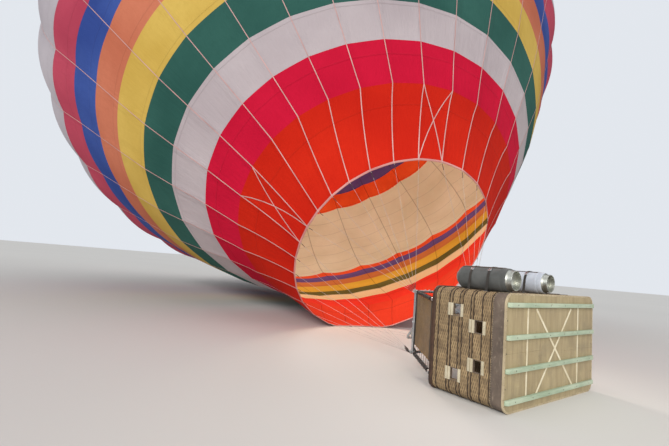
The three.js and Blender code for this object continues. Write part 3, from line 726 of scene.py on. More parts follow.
def woven(name, colour, deep, thread=0.0016, roughness=0.8, folds=0.5, uv=True, sheen=0.2):
    """Plain woven cloth with soiling and soft folds."""
    shader = Shader(name)
    split = shader.add("SeparateXYZ", {0: shader.place(uv=uv)})
    warp = spun_lines(shader, split.outputs[0], thread)
    weft = spun_lines(shader, split.outputs[1], thread)
    soil = shader.noise(shader.place(), 5.0, 5.0, 0.62)
    fold = shader.noise(shader.place((6, 14, 6)), 1.0, 3.0, 0.5)
    threads = shader.math("MULTIPLY", warp, weft)
    shade = shader.blend(shader.fade(soil, 0.35, 0.68), tone(colour), tone(deep))
    shade = shader.blend(shader.math("MULTIPLY", threads, 0.25), shade, tone(deep))
    height = shader.math("ADD", shader.math("MULTIPLY", threads, 0.12), shader.math("MULTIPLY", fold, folds))
    shader.bump(height, 0.6, 0.01)
    return shader.finish(Base_Color=shade, Roughness=roughness, Sheen_Weight=sheen, Sheen_Roughness=0.4)


def rope_finish(name, colour, deep, turn=0.018, between=0x1C1410):
    """Laid cord: its strands run slantwise round it, by its own map in metres. The colour between is painted
    shade in the grooves between the strands.
    """
    shader = Shader(name)
    split = shader.add("SeparateXYZ", {0: shader.coordinates.outputs["UV"]})
    slant = shader.math("ADD", split.outputs[0], shader.math("MULTIPLY", split.outputs[1], 0.8))
    strands = spun_lines(shader, slant, turn)
    soil = shader.noise(shader.place(), 8.0, 5.0, 0.6)
    shade = shader.blend(shader.fade(soil, 0.35, 0.65), tone(colour), tone(deep))
    # Painted shade, darker in the grooves between the strands.
    shade = shader.blend(shader.fade(strands, 0.0, 0.5, 0.6, 0.0), shade, tone(between))
    shader.bump(strands, 0.9, 0.003)
    return shader.finish(Base_Color=shade, Roughness=0.75)


def webbing_finish(name, colour, deep):
    """Flat webbing with ribs across it and lanes along it, by its own map in metres."""
    shader = Shader(name)
    split = shader.add("SeparateXYZ", {0: shader.coordinates.outputs["UV"]})
    ribs = spun_lines(shader, split.outputs[1], 0.004)
    lanes = spun_lines(shader, split.outputs[0], 0.007)
    soil = shader.noise(shader.place(), 7.0, 5.0, 0.65)
    shade = shader.blend(shader.fade(soil, 0.4, 0.72), tone(colour), tone(deep))
    shade = shader.blend(shader.math("MULTIPLY", ribs, 0.2), shade, tone(deep))
    shader.bump(shader.math("ADD", ribs, shader.math("MULTIPLY", lanes, 0.7)), 0.5, 0.0012)
    return shader.finish(Base_Color=shade, Roughness=0.75)


BURNER_UP = Vector((0, math.cos(math.radians(35)), math.sin(math.radians(35))))
PIVOT = site(1.325, 1.9, 0.83)


def heated_steel():
    """Stainless steel that runs from bare through straw to blue towards the hot end."""
    shader = Shader("heated_steel")
    from_pivot = shader.add(
        "VectorMath", {0: shader.coordinates.outputs["Object"], 1: PIVOT}, operation="SUBTRACT"
    ).outputs[0]
    height = shader.add("VectorMath", {0: from_pivot, 1: BURNER_UP}, operation="DOT_PRODUCT").outputs["Value"]
    uneven = shader.noise(shader.place(), 12.0, 5.0, 0.6)
    height = shader.math("ADD", height, shader.math("MULTIPLY", uneven, 0.08))
    shade = shader.blend(shader.fade(height, 0.08, 0.2), tone(0xB9BABA), tone(0xB8975C))
    shade = shader.blend(shader.fade(height, 0.2, 0.27), shade, tone(0x7D5A74))
    shade = shader.blend(shader.fade(height, 0.27, 0.34), shade, tone(0x4E5F86))
    lines = shader.noise(shader.place((200, 30, 200)), 1.0, 2.0)
    shader.bump(lines, 0.1, 0.001)
    return shader.finish(Base_Color=shade, Metallic=1.0, Roughness=shader.fade(uneven, 0.3, 0.7, 0.28, 0.5))


WICKER = wall_wicker()
WICKER_BOARD = board_wicker()
RIM_HIDE = hide("rim_hide", 0x4A3222, 0x332117, 0x86684C, wear=0.45)
SCUFF_HIDE = hide("scuff_hide", 0x74665A, 0x5A4E45, 0x9C8F7E, roughness=0.6, wear=0.75)
PALE_HIDE = hide("pale_hide", 0xD0C7AE, 0xB6AB90, 0x94886E, roughness=0.6)
BINDING_HIDE = hide("binding_hide", 0xBFB092, 0xA39376, 0x84745A, roughness=0.6)
PLANKS = plank_finish()
SKID_PAINT = painted_wood("skid_paint", 0xB2C0AA, 0x98AB93, 0x9C8A6E)
STEEL = metal("bare_steel", 0xC9CCCE)
CYLINDER_STEEL = metal("cylinder_steel", 0xB9BBB4, roughness=0.34)
DARK_STEEL = metal("dark_steel", 0x55534F, roughness=0.4)
BRASS = metal("brass", 0xC79A4A, roughness=0.28, stain=0x7A5A2C)
HOT_STEEL = heated_steel()
# The wire's strands get a paler painted shade in the grooves between them.
WIRE_STEEL = rope_finish("wire_strands", 0xD6D4D2, 0xB8B6B4, turn=0.006, between=0x7C7A78)
GREY_CLOTH = woven("jacket_grey", 0x5F6160, 0x4A4C4B, thread=0.003)
PALE_CLOTH = woven("jacket_pale", 0xC4CBD6, 0xACB3BF, thread=0.003)
POLE_CLOTH = woven("pole_cover", 0x2E2420, 0x1F1814, thread=0.003, uv=False)
OLIVE_CLOTH = woven("panel_canvas", 0x7E5F2A, 0x64491D, thread=0.002)
SLEEVE_CLOTH = woven("wire_sleeve", 0x4A3A34, 0x352823, thread=0.003, uv=False)
DARK_CORD = rope_finish("dark_cord", 0x3B2C26, 0x2B1F1B)
LIGHT_ROPE = rope_finish("light_rope", 0xA18A6B, 0x866F52)
WEBBING = webbing_finish("webbing", 0xE8E0C8, 0xD0C4A4)
DARK_WEBBING = webbing_finish("dark_webbing", 0x3E3A36, 0x2D2A27)
STITCHES = woven("stitch_thread", 0xC9B99A, 0xB0A080, uv=False)
GRIP = woven("grip_cover", 0x8C2A22, 0x6A1E19, uv=False)

# Basket

BASKET = {"length": 2.65, "width": 1.5, "height": 1.172, "corner": 0.15}
BOARD = 0.022
WALL_OUT, WALL_IN = 0.015, 0.051
RIM_LOW = 1.102
SEAT = 0.0003
STAKES = 160
WEAVERS = 66
PERIMETER = 2 * (BASKET["length"] + BASKET["width"]) - (8 - 2 * math.pi) * BASKET["corner"]
STEP_HOLES = [
    # middle above the floor board, middle across the end wall
    (0.735, 1.19),
    (0.385, 1.005),
    (0.385, 0.495),
    (0.735, 0.31),
]
HOLE_ALONG, HOLE_ACROSS = 0.12, 0.16


def around_basket(count):
    """Places evenly spaced round the basket's outline, as X and Z, and the way out at each."""
    size = np.array([BASKET["length"], BASKET["width"]])
    corner = BASKET["corner"]
    bend = corner * math.pi / 2
    legs = [size[0] - 2 * corner, bend, size[1] - 2 * corner, bend] * 2
    stops = np.concatenate([[0.0], np.cumsum(legs)])
    places, outs = [], []
    for distance in np.arange(count) * stops[-1] / count:
        leg = int(np.searchsorted(stops, distance, side="right")) - 1
        into = distance - stops[leg]
        heading = np.array([[1, 0], [0, 1], [-1, 0], [0, -1]][leg // 2], float)
        out = np.array([heading[1], -heading[0]])
        if leg % 2 == 0:
            place = size / 2 + out * (abs(out) @ size) / 2 + heading * (into - legs[leg] / 2)
        else:
            middle = size / 2 + (out + heading) * (size / 2 - corner)
            out = out * math.cos(into / corner) + heading * math.sin(into / corner)
            place = middle + out * corner
        places.append(place)
        outs.append(out)
    return np.array(places), np.array(outs)


def round_basket(name, profile, loops=240, swell=None):
    """A ring round the basket from a profile of (how far in from the outline, height)."""
    places, outs = around_basket(loops)
    shape = np.repeat(np.array(profile, float)[None], loops, axis=0)
    if swell is not None:
        middle = shape.mean(axis=1, keepdims=True)
        shape = middle + (shape - middle) * swell[:, None, None]
    flat = places[:, None, :] - outs[:, None, :] * shape[..., :1]
    points = np.stack([flat[..., 0], shape[..., 1], flat[..., 1]], axis=-1) + np.array(CORNER)
    edges = np.diff(np.vstack([profile, profile[:1]]), axis=0)
    return ring_solid(name, points, PERIMETER, float(np.linalg.norm(edges, axis=1).sum()))


def oval_profile(in_middle, height, half_in, half_height, points=12, square=0.7):
    """Corners of a rounded shape, as (how far in, height)."""
    angles = np.arange(points) * 2 * math.pi / points
    c, s = np.cos(angles), np.sin(angles)
    return np.stack([
        in_middle + half_in * np.sign(c) * abs(c) ** square,
        height + half_height * np.sign(s) * abs(s) ** square,
    ], axis=1)


def drop_faces(piece, test):
    pick(piece)
    bpy.ops.object.mode_set(mode="EDIT")
    bpy.ops.mesh.select_mode(type="FACE")
    bpy.ops.mesh.select_all(action="DESELECT")
    bpy.ops.object.mode_set(mode="OBJECT")
    for face in piece.data.polygons:
        face.select = test(face.center)
    bpy.ops.object.mode_set(mode="EDIT")
    bpy.ops.mesh.delete(type="FACE")
    bpy.ops.object.mode_set(mode="OBJECT")


def in_a_step_hole(place):
    here = place - CORNER
    return here.x < 0.1 and any(
        abs(here.y - height) < HOLE_ALONG / 2 and abs(here.z - across) < HOLE_ACROSS / 2
        for height, across in STEP_HOLES
    )


def woven_wall():
    """The wicker wall: weavers pass in front of every other stake, and the next row behind it."""
    places, outs = around_basket(2 * STAKES)
    places = np.vstack([places, places[:1]])[::-1]
    outs = np.vstack([outs, outs[:1]])[::-1]
    stake = np.arange(2 * STAKES, -1, -1) / 2
    level = np.arange(2 * WEAVERS + 1)
    height = np.interp(level, [0, 2 * WEAVERS], [BOARD + SEAT, RIM_LOW - SEAT])
    row = (level - 1) // 2
    wave = np.cos(math.pi * (stake[None, :] + row[:, None]))
    raised_by = np.where((level % 2 == 1)[:, None], 0.0045 * wave, -0.003)
    inset = WALL_OUT - raised_by
    flat = places[None] - outs[None] * inset[..., None]
    heights = np.broadcast_to(height[:, None], inset.shape)
    points = np.stack([flat[..., 0], heights, flat[..., 1]], axis=-1) + np.array(CORNER)
    chart = np.stack(np.broadcast_arrays(stake[None, :], level[:, None] / 2), axis=-1)
    wall = laid_grid("wicker_wall", points, chart)
    close_seams(wall)
    drop_faces(wall, in_a_step_hole)
    modify(wall, "SOLIDIFY", thickness=WALL_IN - WALL_OUT, offset=-1)
    smooth(wall, 75)
    finish_piece(wall, "root", "wicker", WICKER, replaces=["basket_wall"])


WALL_CORDS = [
    # height above the floor board's underside, radius, finish
    (1.036, 0.0065, DARK_CORD),
    (0.862, 0.0065, DARK_CORD),
    (0.836, 0.0075, LIGHT_ROPE),
    (0.810, 0.0065, DARK_CORD),
    (0.692, 0.0065, DARK_CORD),
    (0.666, 0.0065, LIGHT_ROPE),
    (0.640, 0.0065, DARK_CORD),
    (0.511, 0.0065, DARK_CORD),
    (0.489, 0.0075, LIGHT_ROPE),
    (0.465, 0.0065, DARK_CORD),
    (0.336, 0.0065, DARK_CORD),
    (0.206, 0.0050, DARK_CORD),
]


def crosses_a_step_hole(height, radius):
    return any(abs(height - middle) < HOLE_ALONG / 2 + radius for middle, _ in STEP_HOLES)


def wall_cords():
    """Cords wound round the wall between the weavers, cut where a step hole is."""
    for index, (height, radius, finish) in enumerate(WALL_CORDS):
        profile = oval_profile(WALL_OUT - 0.3 * radius, height, radius, radius, points=8, square=1.0)
        cord = round_basket(f"wall_cord_{index + 1:02d}", profile, loops=320)
        if crosses_a_step_hole(height, radius):
            drop_faces(cord, in_a_step_hole_row)
            edit_all(cord, (bpy.ops.mesh.fill_holes, {"sides": 8}))
        smooth(cord, 60)
        finish_piece(cord, "root", "leather" if finish is DARK_CORD else "wicker", finish)


def in_a_step_hole_row(place):
    here = place - CORNER
    return here.x < 0.1 and any(
        abs(here.y - height) < HOLE_ALONG and abs(here.z - across) < HOLE_ACROSS / 2 + 0.01
        for height, across in STEP_HOLES
    )


def raised(name, corners, push, bevel=0.002, segments=2):
    """A solid drawn as a flat outline of corners and pushed out."""
    start_clean()
    bpy.ops.mesh.primitive_circle_add(vertices=len(corners), fill_type="NGON")
    piece = named(bpy.context.object, name)
    piece.data.vertices.foreach_set("co", np.array(corners, float).reshape(-1))
    edit_all(
        piece,
        (bpy.ops.mesh.extrude_region_move, {"TRANSFORM_OT_translate": {"value": tuple(push)}}),
        (bpy.ops.mesh.select_all, {"action": "SELECT"}),
        (bpy.ops.mesh.normals_make_consistent, {"inside": False}),
    )
    if bevel:
        modify(piece, "BEVEL", width=bevel, segments=segments, limit_method="ANGLE")
    return smooth(piece)


def raised_ring(name, outer, inner, push, bevel=0.004):
    """A flat ring between two outlines with as many corners each, pushed out and bevelled."""
    loops = []
    for corners in (outer, inner):
        start_clean()
        bpy.ops.mesh.primitive_circle_add(vertices=len(corners), fill_type="NOTHING")
        loop = bpy.context.object
        loop.data.vertices.foreach_set("co", np.array(corners, float).reshape(-1))
        loops.append(loop)
    piece = joined(name, loops)
    edit_all(
        piece,
        (bpy.ops.mesh.bridge_edge_loops, {}),
        (bpy.ops.mesh.select_all, {"action": "SELECT"}),
        (bpy.ops.mesh.extrude_region_move, {"TRANSFORM_OT_translate": {"value": tuple(push)}}),
        (bpy.ops.mesh.select_all, {"action": "SELECT"}),
        (bpy.ops.mesh.normals_make_consistent, {"inside": False}),
    )
    if bevel:
        modify(piece, "BEVEL", width=bevel, segments=3, limit_method="ANGLE")
    return smooth(piece)


def hole_frame(height, across, grow, x):
    """Corners of a step hole's outline, grown by so much, on the wall at x."""
    half_y, half_z = HOLE_ALONG / 2 + grow, HOLE_ACROSS / 2 + grow
    return [site(x, height + y, across + z) for y, z in (
        (-half_y, -half_z), (half_y, -half_z), (half_y, half_z), (-half_y, half_z),
    )]


def step_hole_trim():
    """Dark linings through the wall, and pale hide sewn on towards the rim and the floor."""
    linings, patches, thread = [], [], []
    for height, across in STEP_HOLES:
        linings.append(raised_ring(
            "lining",
            hole_frame(height, across, 0.006, WALL_OUT - 0.006),
            hole_frame(height, across, -0.003, WALL_OUT - 0.006),
            (WALL_IN - WALL_OUT + 0.010, 0, 0),
            bevel=0.0015,
        ))
        for start, end in ((-0.046, -0.001), (0.001, 0.088)):
            edge = height + math.copysign(HOLE_ALONG / 2, start + end)
            low = site(0.0065, edge + start, across - 0.088)
            high = site(0.0105, edge + end, across + 0.088)
            patches.append(cuboid("patch", low, high, bevel=0.0016))
            for row_y in (edge + start + 0.006, edge + end - 0.006):
                for step in np.arange(-0.078, 0.079, 0.012):
                    thread.append(upright_to(site(0.0062, row_y, across + step), (0, 0, 1)))
    finish_piece(joined("step_hole_linings", linings), "root", "leather", SCUFF_HIDE)
    finish_piece(joined("step_hole_patches", patches), "root", "leather", PALE_HIDE)
    stitch = bar("stitch", (0, 0, -0.004), (0, 0, 0.004), 0.0009, sides=6)
    finish_piece(twins("step_hole_stitches", stitch, thread), "root", "leather", RIM_HIDE)


def basket_edges():
    """The padded rim, the worn hide round the foot of the wall, and the floor's binding."""
    loops = 480
    laced_every = 0.12
    beat = np.arange(loops) * PERIMETER / loops / laced_every
    swell = 1 - 0.05 * (0.5 + 0.5 * np.cos(2 * math.pi * beat)) ** 4
    middle_in = WALL_IN / 2
    rim = round_basket(
        "rim_roll",
        oval_profile(middle_in, (RIM_LOW + BASKET["height"]) / 2, middle_in, 0.035, points=16, square=0.62),
        loops=loops,
        swell=swell,
    )
    smooth(rim, 60)
    finish_piece(rim, "root", "leather", RIM_HIDE, replaces=["basket_rim"])

    low, high, out = BOARD + SEAT, BOARD + SEAT + 0.165, WALL_OUT - SEAT - 0.006
    profile = [
        (out, low), (out, low + 0.05), (out, low + 0.11), (out, high - 0.003),
        (out + 0.002, high), (WALL_OUT - SEAT, high), (WALL_OUT - SEAT, low),
    ]
    scuff = round_basket("scuff_hide", profile, loops=320)
    smooth(scuff, 40)
    finish_piece(scuff, "root", "leather", SCUFF_HIDE, replaces=["scuff_band"])

    places, outs = around_basket(round(PERIMETER / 0.03))
    thread = []
    for place, way in zip(places, outs):
        spot = place - way * (out - 0.0005)
        thread.append(upright_to(site(spot[0], high - 0.008, spot[1]), (0, 1, 0)))
    stitch = bar("stitch", (0, 0, -0.009), (0, 0, 0.009), 0.0012, sides=6)
    finish_piece(twins("scuff_stitches", stitch, thread), "root", "leather", STITCHES)

    profile = [
        (0, -0.0016), (0.012, -0.0019), (0.024, -0.0016), (0.024, 0),
        (0.0022, 0), (0.0022, 0.0218), (0, 0.0218),
    ]
    binding = round_basket("floor_binding", profile, loops=320)
    smooth(binding, 40)
    finish_piece(binding, "root", "leather", BINDING_HIDE)

    places, outs = around_basket(round(PERIMETER / 0.09))
    nails = []
    for place, way in zip(places, outs):
        spot = place - way * 0.015
        nails.append(upright_to(site(spot[0], -0.0018, spot[1]), (0, -1, 0)))
    nail = turned("nail", [(0.0, 0.002), (0.003, 0.0014), (0.0045, 0.0), (0.0, 0.0)], steps=8)
    finish_piece(twins("binding_nails", nail, nails), "root", "burner_steel", DARK_STEEL)


PLANK_SEAMS = [0.518, 0.963, 1.63, 2.029]
LENGTHWISE_SEAMS = [
    # height across the board, from, to
    (0.735, 0.0, 0.963),
    (0.690, 1.63, 2.65),
]


def choose(piece, kind, test):
    """Selects the faces or edges whose middle passes the test, and leaves the piece in edit mode."""
    pick(piece)
    mesh = piece.data
    bpy.ops.object.mode_set(mode="EDIT")
    bpy.ops.mesh.select_mode(type=kind)
    bpy.ops.mesh.select_all(action="DESELECT")
    bpy.ops.object.mode_set(mode="OBJECT")
    if kind == "FACE":
        for face in mesh.polygons:
            face.select = test(face.center - CORNER)
    else:
        for edge in mesh.edges:
            ends = [mesh.vertices[index].co - CORNER for index in edge.vertices]
            edge.select = test(*ends)
    bpy.ops.object.mode_set(mode="EDIT")


def score(piece, test, wide=0.002, deep=0.003):
    """Turns the chosen edges of the board's underside into grooves."""
    choose(piece, "EDGE", test)
    bpy.ops.mesh.bevel(offset=wide / 2, segments=1, affect="EDGES")
    bpy.ops.object.mode_set(mode="OBJECT")

    def in_groove(middle):
        return abs(middle.y) < 0.0001 and test(middle, middle)

    choose(piece, "FACE", in_groove)
    bpy.ops.mesh.extrude_region_move(TRANSFORM_OT_translate={"value": (0, deep, 0)})
    bpy.ops.object.mode_set(mode="OBJECT")


def floor_board():
    """The plywood floor, its underside scored where the sheets meet."""
    places, outs = around_basket(160)
    edge = places - outs * 0.0024
    board = raised("floor_planks", [site(x, 0, z) for x, z in edge], (0, BOARD, 0), bevel=0)
    for seam in PLANK_SEAMS:
        edit_all(board, (bpy.ops.mesh.bisect, {"plane_co": site(seam, 0, 0), "plane_no": (1, 0, 0)}))
    for height, start, end in LENGTHWISE_SEAMS:
        choose(board, "FACE", lambda middle: abs(middle.y) < 0.0001 and start < middle.x < end)
        bpy.ops.mesh.bisect(plane_co=site(0, 0, height), plane_no=(0, 0, 1))
        bpy.ops.object.mode_set(mode="OBJECT")
    near = 0.0012
    for seam in PLANK_SEAMS:
        score(board, lambda *ends: all(abs(p.y) < near and abs(p.x - seam) < near for p in ends))
    for height, start, end in LENGTHWISE_SEAMS:
        score(board, lambda *ends: all(
            abs(p.y) < near and abs(p.z - height) < near and start - near < p.x < end + near for p in ends
        ))
    smooth(board, 30)
    finish_piece(board, "root", "plywood", PLANKS, replaces=["basket_floor"])


SKID_PLACES = [0.15, 0.53, 0.94, 1.35]
BOARD_BOLTS = [(x, z) for x in (0.045, 2.605) for z in (0.31, 0.74, 1.15)]


def skids():
    """Bevelled runners, each with its carriage bolts."""
    inset, slope, square, deep, half = 0.025, 0.040, 0.018, 0.045, 0.030
    start, end = inset, BASKET["length"] - inset
    side = [
        (start, -SEAT), (start, -SEAT - square), (start + slope, -SEAT - deep),
        (end - slope, -SEAT - deep), (end, -SEAT - square), (end, -SEAT),
    ]
    bolts = [upright_to(site(x, -0.0002, z), (0, -1, 0)) for x, z in BOARD_BOLTS]
    for number, middle in enumerate(SKID_PLACES):
        corners = [site(x, y, middle - half) for x, y in side]
        skid = raised(f"runner_{number + 1}", corners, (0, 0, 2 * half), bevel=0.005, segments=3)
        finish_piece(skid, "root", "skid_paint", SKID_PAINT, replaces=[f"skid_{number + 1}"])
        for x in np.linspace(0.22, BASKET["length"] - 0.22, 6):
            bolts.append(upright_to(site(x, -SEAT - deep + 0.0005, middle), (0, -1, 0)))
    bolt = turned("bolt", [(0, 0.002), (0.006, 0.0015), (0.0095, 0.0), (0.0, 0.0)], steps=12)
    finish_piece(twins("runner_bolts", bolt, bolts), "root", "burner_steel", DARK_STEEL)


def flat_strap(name, start, end, width, out, thick=0.0024, slack=0.0):
    """A length of webbing from start to end, its flat side facing out."""
    start, end, out = Vector(start), Vector(end), Vector(out).normalized()
    line = end - start
    sideways = line.cross(out).normalized() * width / 2
    steps = max(2, round(line.length / 0.05))
    rows, chart = [], []
    for step in range(steps + 1):
        share = step / steps
        middle = start + line * share + out * slack * math.sin(math.pi * share)
        rows.append([middle - sideways, middle, middle + sideways])
        chart.append([(u, share * line.length) for u in (-width / 2, 0, width / 2)])
    strap = laid_grid(name, np.array(rows), np.array(chart))
    modify(strap, "SOLIDIFY", thickness=thick, offset=0)
    face_out(strap)
    return smooth(strap)


UNDER_STRAPS = [
    # from and to, as X and Z on the board
    ((0.551, 0.18), (0.551, 1.32)),
    ((2.085, 0.18), (2.085, 1.32)),
    ((0.77, 1.30), (1.92, 0.165)),
    ((1.84, 1.30), (0.81, 0.165)),
]


def under_straps():
    """Webbing under the floor board: two straight lengths and a cross."""
    lengths = []
    for number, (start, end) in enumerate(UNDER_STRAPS):
        proud = -0.0018 - 0.0006 * number
        lengths.append(flat_strap(
            "strap", site(start[0], proud, start[1]), site(end[0], proud, end[1]), 0.036, (0, -1, 0)
        ))
    finish_piece(joined("floor_webbing", lengths), "root", "load_tape", WEBBING)


def partition_tops():
    """Rolls of hide along the tops of the two partitions."""
    top, near, far, middle = 1.150, 0.95, 1.70, BASKET["width"] / 2
    inner_low, inner_high = WALL_IN + 0.004, BASKET["width"] - WALL_IN - 0.004
    runs = []
    for cross_x, end_x in ((near, WALL_IN + 0.004), (far, BASKET["length"] - WALL_IN - 0.004)):
        runs.append([(cross_x, inner_low), (cross_x, inner_high)])
        runs.append([(cross_x, middle), (end_x, middle)])
    rolls = []
    for (x0, z0), (x1, z1) in runs:
        steps = [site(x0 + (x1 - x0) * k / 24, top, z0 + (z1 - z0) * k / 24) for k in range(25)]
        rolls.append(drawn_tube("roll", steps, 0.021, sides=16))
    tops = joined("partition_tops", rolls)
    finish_piece(tops, "root", "leather", RIM_HIDE)
    for node in ("partition_near", "partition_far"):
        dress_node(node, WICKER_BOARD)


def dress_node(node, material):
    piece = frame["nodes"][node]
    piece.data.materials.clear()
    piece.data.materials.append(material)


woven_wall()
wall_cords()
step_hole_trim()
basket_edges()
floor_board()
skids()
under_straps()
partition_tops()


# Soft covers


def places_of(piece):
    values = np.empty(len(piece.data.vertices) * 3)
    piece.data.vertices.foreach_get("co", values)
    return values.reshape(-1, 3)


def put_places(piece, values):
    piece.data.vertices.foreach_set("co", values.reshape(-1))
    piece.data.update()


def filled(piece, cap, held, pressure=4.0):
    """Lets a closed cover swell like stuffed cloth. Points that held picks stay, none moves past cap."""
    before = places_of(piece)
    pick(piece)
    group = piece.vertex_groups.new(name="held")
    group.add([int(index) for index in np.flatnonzero(held(before))], 1.0, "REPLACE")
    cloth = piece.modifiers.new("stuffing", "CLOTH")
    cloth.settings.quality = 6
    cloth.settings.mass = 0.3
    cloth.settings.tension_stiffness = 10
    cloth.settings.bending_stiffness = 0.3
    cloth.settings.use_pressure = True
    cloth.settings.uniform_pressure_force = pressure
    cloth.settings.effector_weights.gravity = 0
    cloth.settings.vertex_group_mass = group.name
    for moment in range(1, 21):
        bpy.context.scene.frame_set(moment)
    bpy.ops.object.modifier_apply(modifier=cloth.name)
    bpy.context.scene.frame_set(1)
    piece.vertex_groups.clear()
    moved = places_of(piece) - before
    far = np.linalg.norm(moved, axis=1, keepdims=True)
    put_places(piece, before + moved * np.minimum(1.0, cap / np.maximum(far, 1e-9)))
    modify(piece, "SUBSURF", levels=1, render_levels=1)
    return smooth(piece, 60)


def soft_tube(name, start, end, radii, sides=20, creases=0.0):
    """A closed cover round a line, its radius given row by row, with slanting creases."""
    start, end = Vector(start), Vector(end)
    line = end - start
    turn = line.to_track_quat("Z", "Y").to_matrix()
    across, up = turn.col[0], turn.col[1]
    rows = len(radii)
    angles = np.arange(sides + 1) * -2 * math.pi / sides
    share = np.arange(rows)[:, None] / (rows - 1)
    slant = np.sin(angles[None, :] * 2 + share * 34) * np.sin(angles[None, :] - share * 21)
    radius = np.array(radii)[:, None] + creases * slant
    points = np.array(start) + share[..., None] * np.array(line)
    points = points + (radius * np.cos(angles))[..., None] * np.array(across)
    points = points + (radius * np.sin(angles))[..., None] * np.array(up)
    chart = np.stack(np.broadcast_arrays(angles[None, :] * -np.mean(radii), share * line.length), axis=-1)
    piece = laid_grid(name, points, chart)
    close_seams(piece, 0.00005)
    edit_all(piece, (bpy.ops.mesh.select_mode, {"type": "VERT"}), (bpy.ops.mesh.fill_holes, {"sides": 0}))
    return face_out(piece)


# Fuel cylinders, strapped on the upper side of the basket

CYLINDERS = [
    # number, place along the basket, lowest end from the floor board, jacket, its slot
    (1, 0.400, 0.095, GREY_CLOTH, "grey_jacket"),
    (2, 1.500, 0.150, PALE_CLOTH, "pale_jacket"),
]
CYLINDER_OUT = 0.158
JACKET_OUT = 0.172
CYLINDER_UP = BASKET["width"] - WALL_OUT + SEAT + JACKET_OUT
CYLINDER_BODY = [
    # radius, height
    (0.0, 0.070), (0.060, 0.066), (0.100, 0.061), (0.124, 0.064), (0.1255, 0.006), (0.127, 0.001),
    (0.130, 0.0), (0.134, 0.001), (0.136, 0.005), (0.136, 0.056), (0.141, 0.064), (0.150, 0.077),
    (0.156, 0.094), (0.158, 0.112), (0.158, 0.400), (0.158, 0.768), (0.155, 0.787), (0.147, 0.802),
    (0.132, 0.812), (0.108, 0.817), (0.106, 0.822), (0.106, 0.872), (0.105, 0.878), (0.101, 0.880),
    (0.097, 0.878), (0.096, 0.872), (0.096, 0.826), (0.060, 0.829), (0.0, 0.831),
]
BELTS = [0.32, 0.60]
SKIRT = [
    # radius, height: over the cylinder's shoulder and back under
    (0.1640, 0.1560), (0.1630, 0.1200), (0.1618, 0.1000), (0.1585, 0.0860), (0.1545, 0.0780),
    (0.1525, 0.0782), (0.1560, 0.0870), (0.1592, 0.1005), (0.1604, 0.1200), (0.1604, 0.1560),
    (0.1640, 0.1560),
]


def jacket(number, x, low_end, cloth, slot):
    """A padded cover, drawn in a little where the belts go over it."""
    heights = np.concatenate([[0.150], np.linspace(0.156, 0.794, 52), [0.805, 0.822, 0.840]])
    radii = np.interp(heights, [0.150, 0.160, 0.794, 0.805, 0.840], [0.166, 0.1705, 0.1705, 0.166, 0.142])
    for height in BELTS:
        radii = radii - 0.0018 * np.exp(-((heights - height) / 0.022) ** 2)
    lining = [(0.136, 0.846), (0.1585, 0.790), (0.1585, 0.1505), (0.166, 0.150)]
    profile = list(zip(radii, heights)) + lining
    foot = site(x, low_end, CYLINDER_UP)
    cover = turned(f"padded_jacket_{number}", profile, foot, (0, 1, 0), steps=56)

    def held(places):
        height = places[:, 1] - CORNER.y - low_end
        radius = np.hypot(places[:, 0] - CORNER.x - x, places[:, 2] - CORNER.z - CYLINDER_UP)
        belted = np.min([abs(height - belt_height) for belt_height in BELTS], axis=0) < 0.016
        return belted | (radius < 0.162) | (height > 0.80) | (height < 0.153)

    filled(cover, cap=0.006, held=held)
    finish_piece(cover, "root", slot, cloth, replaces=[f"cylinder_jacket_{number}"])

    skirt = turned(f"jacket_skirt_{number}", SKIRT, foot, (0, 1, 0), steps=56)
    finish_piece(skirt, "root", slot, cloth)


def belt(name, points, width, way, thick=0.0026):
    """A strap whose middle follows the points, its width laid along way."""
    half = Vector(way).normalized() * width / 2
    rows = np.array([[p - half, p + half] for p in map(Vector, points)])
    run = np.concatenate([[0], np.cumsum(np.linalg.norm(np.diff(rows.mean(axis=1), axis=0), axis=1))])
    chart = np.array([[(-width / 2, along), (width / 2, along)] for along in run])
    strap = laid_grid(name, rows, chart)
    modify(strap, "SOLIDIFY", thickness=thick, offset=0)
    face_out(strap)
    return smooth(strap, 50)


def circle_points(place, radius, way, start=0.0, end=360.0, steps=48):
    """Points of an arc round a line through place, in degrees from +X, or from +Y for a line along X."""
    turn = Vector(way).to_track_quat("Z", "Y").to_matrix()
    angles = np.radians(np.linspace(start, end, steps + 1))
    return [Vector(place) + turn @ Vector((radius * math.cos(a), radius * math.sin(a), 0)) for a in angles]


ANCHOR_OUT = 0.2
ANCHOR_HALF = 0.03
BELT_OUT = 0.1738
BELT_FOOT = JACKET_OUT - 0.002
BUCKLE_TURN, BUCKLE_X, BUCKLE_Z = -43.7, -0.1225, 0.1275
ZIP_TURN, ZIP_X = -24.2, -0.071
GAUGE_FACE = [
    # radius, height
    (0.0, 0.0), (0.020, 0.0), (0.021, 0.002), (0.021, 0.012), (0.019, 0.014), (0.018, 0.012), (0.0, 0.0125),
]


def belt_anchors(here):
    """Plates on the basket's side that the belts' ends are riveted to."""
    plates = []
    for across in (-ANCHOR_OUT, ANCHOR_OUT):
        foot = here + Vector((across, 0, BASKET["width"] - WALL_OUT - CYLINDER_UP + 0.0045))
        for height in BELTS:
            low = foot + Vector((-ANCHOR_HALF, height - ANCHOR_HALF, -0.004))
            high = foot + Vector((ANCHOR_HALF, height + ANCHOR_HALF, 0.001))
            plates.append(cuboid("anchor", low, high, bevel=0.0015))
    return plates


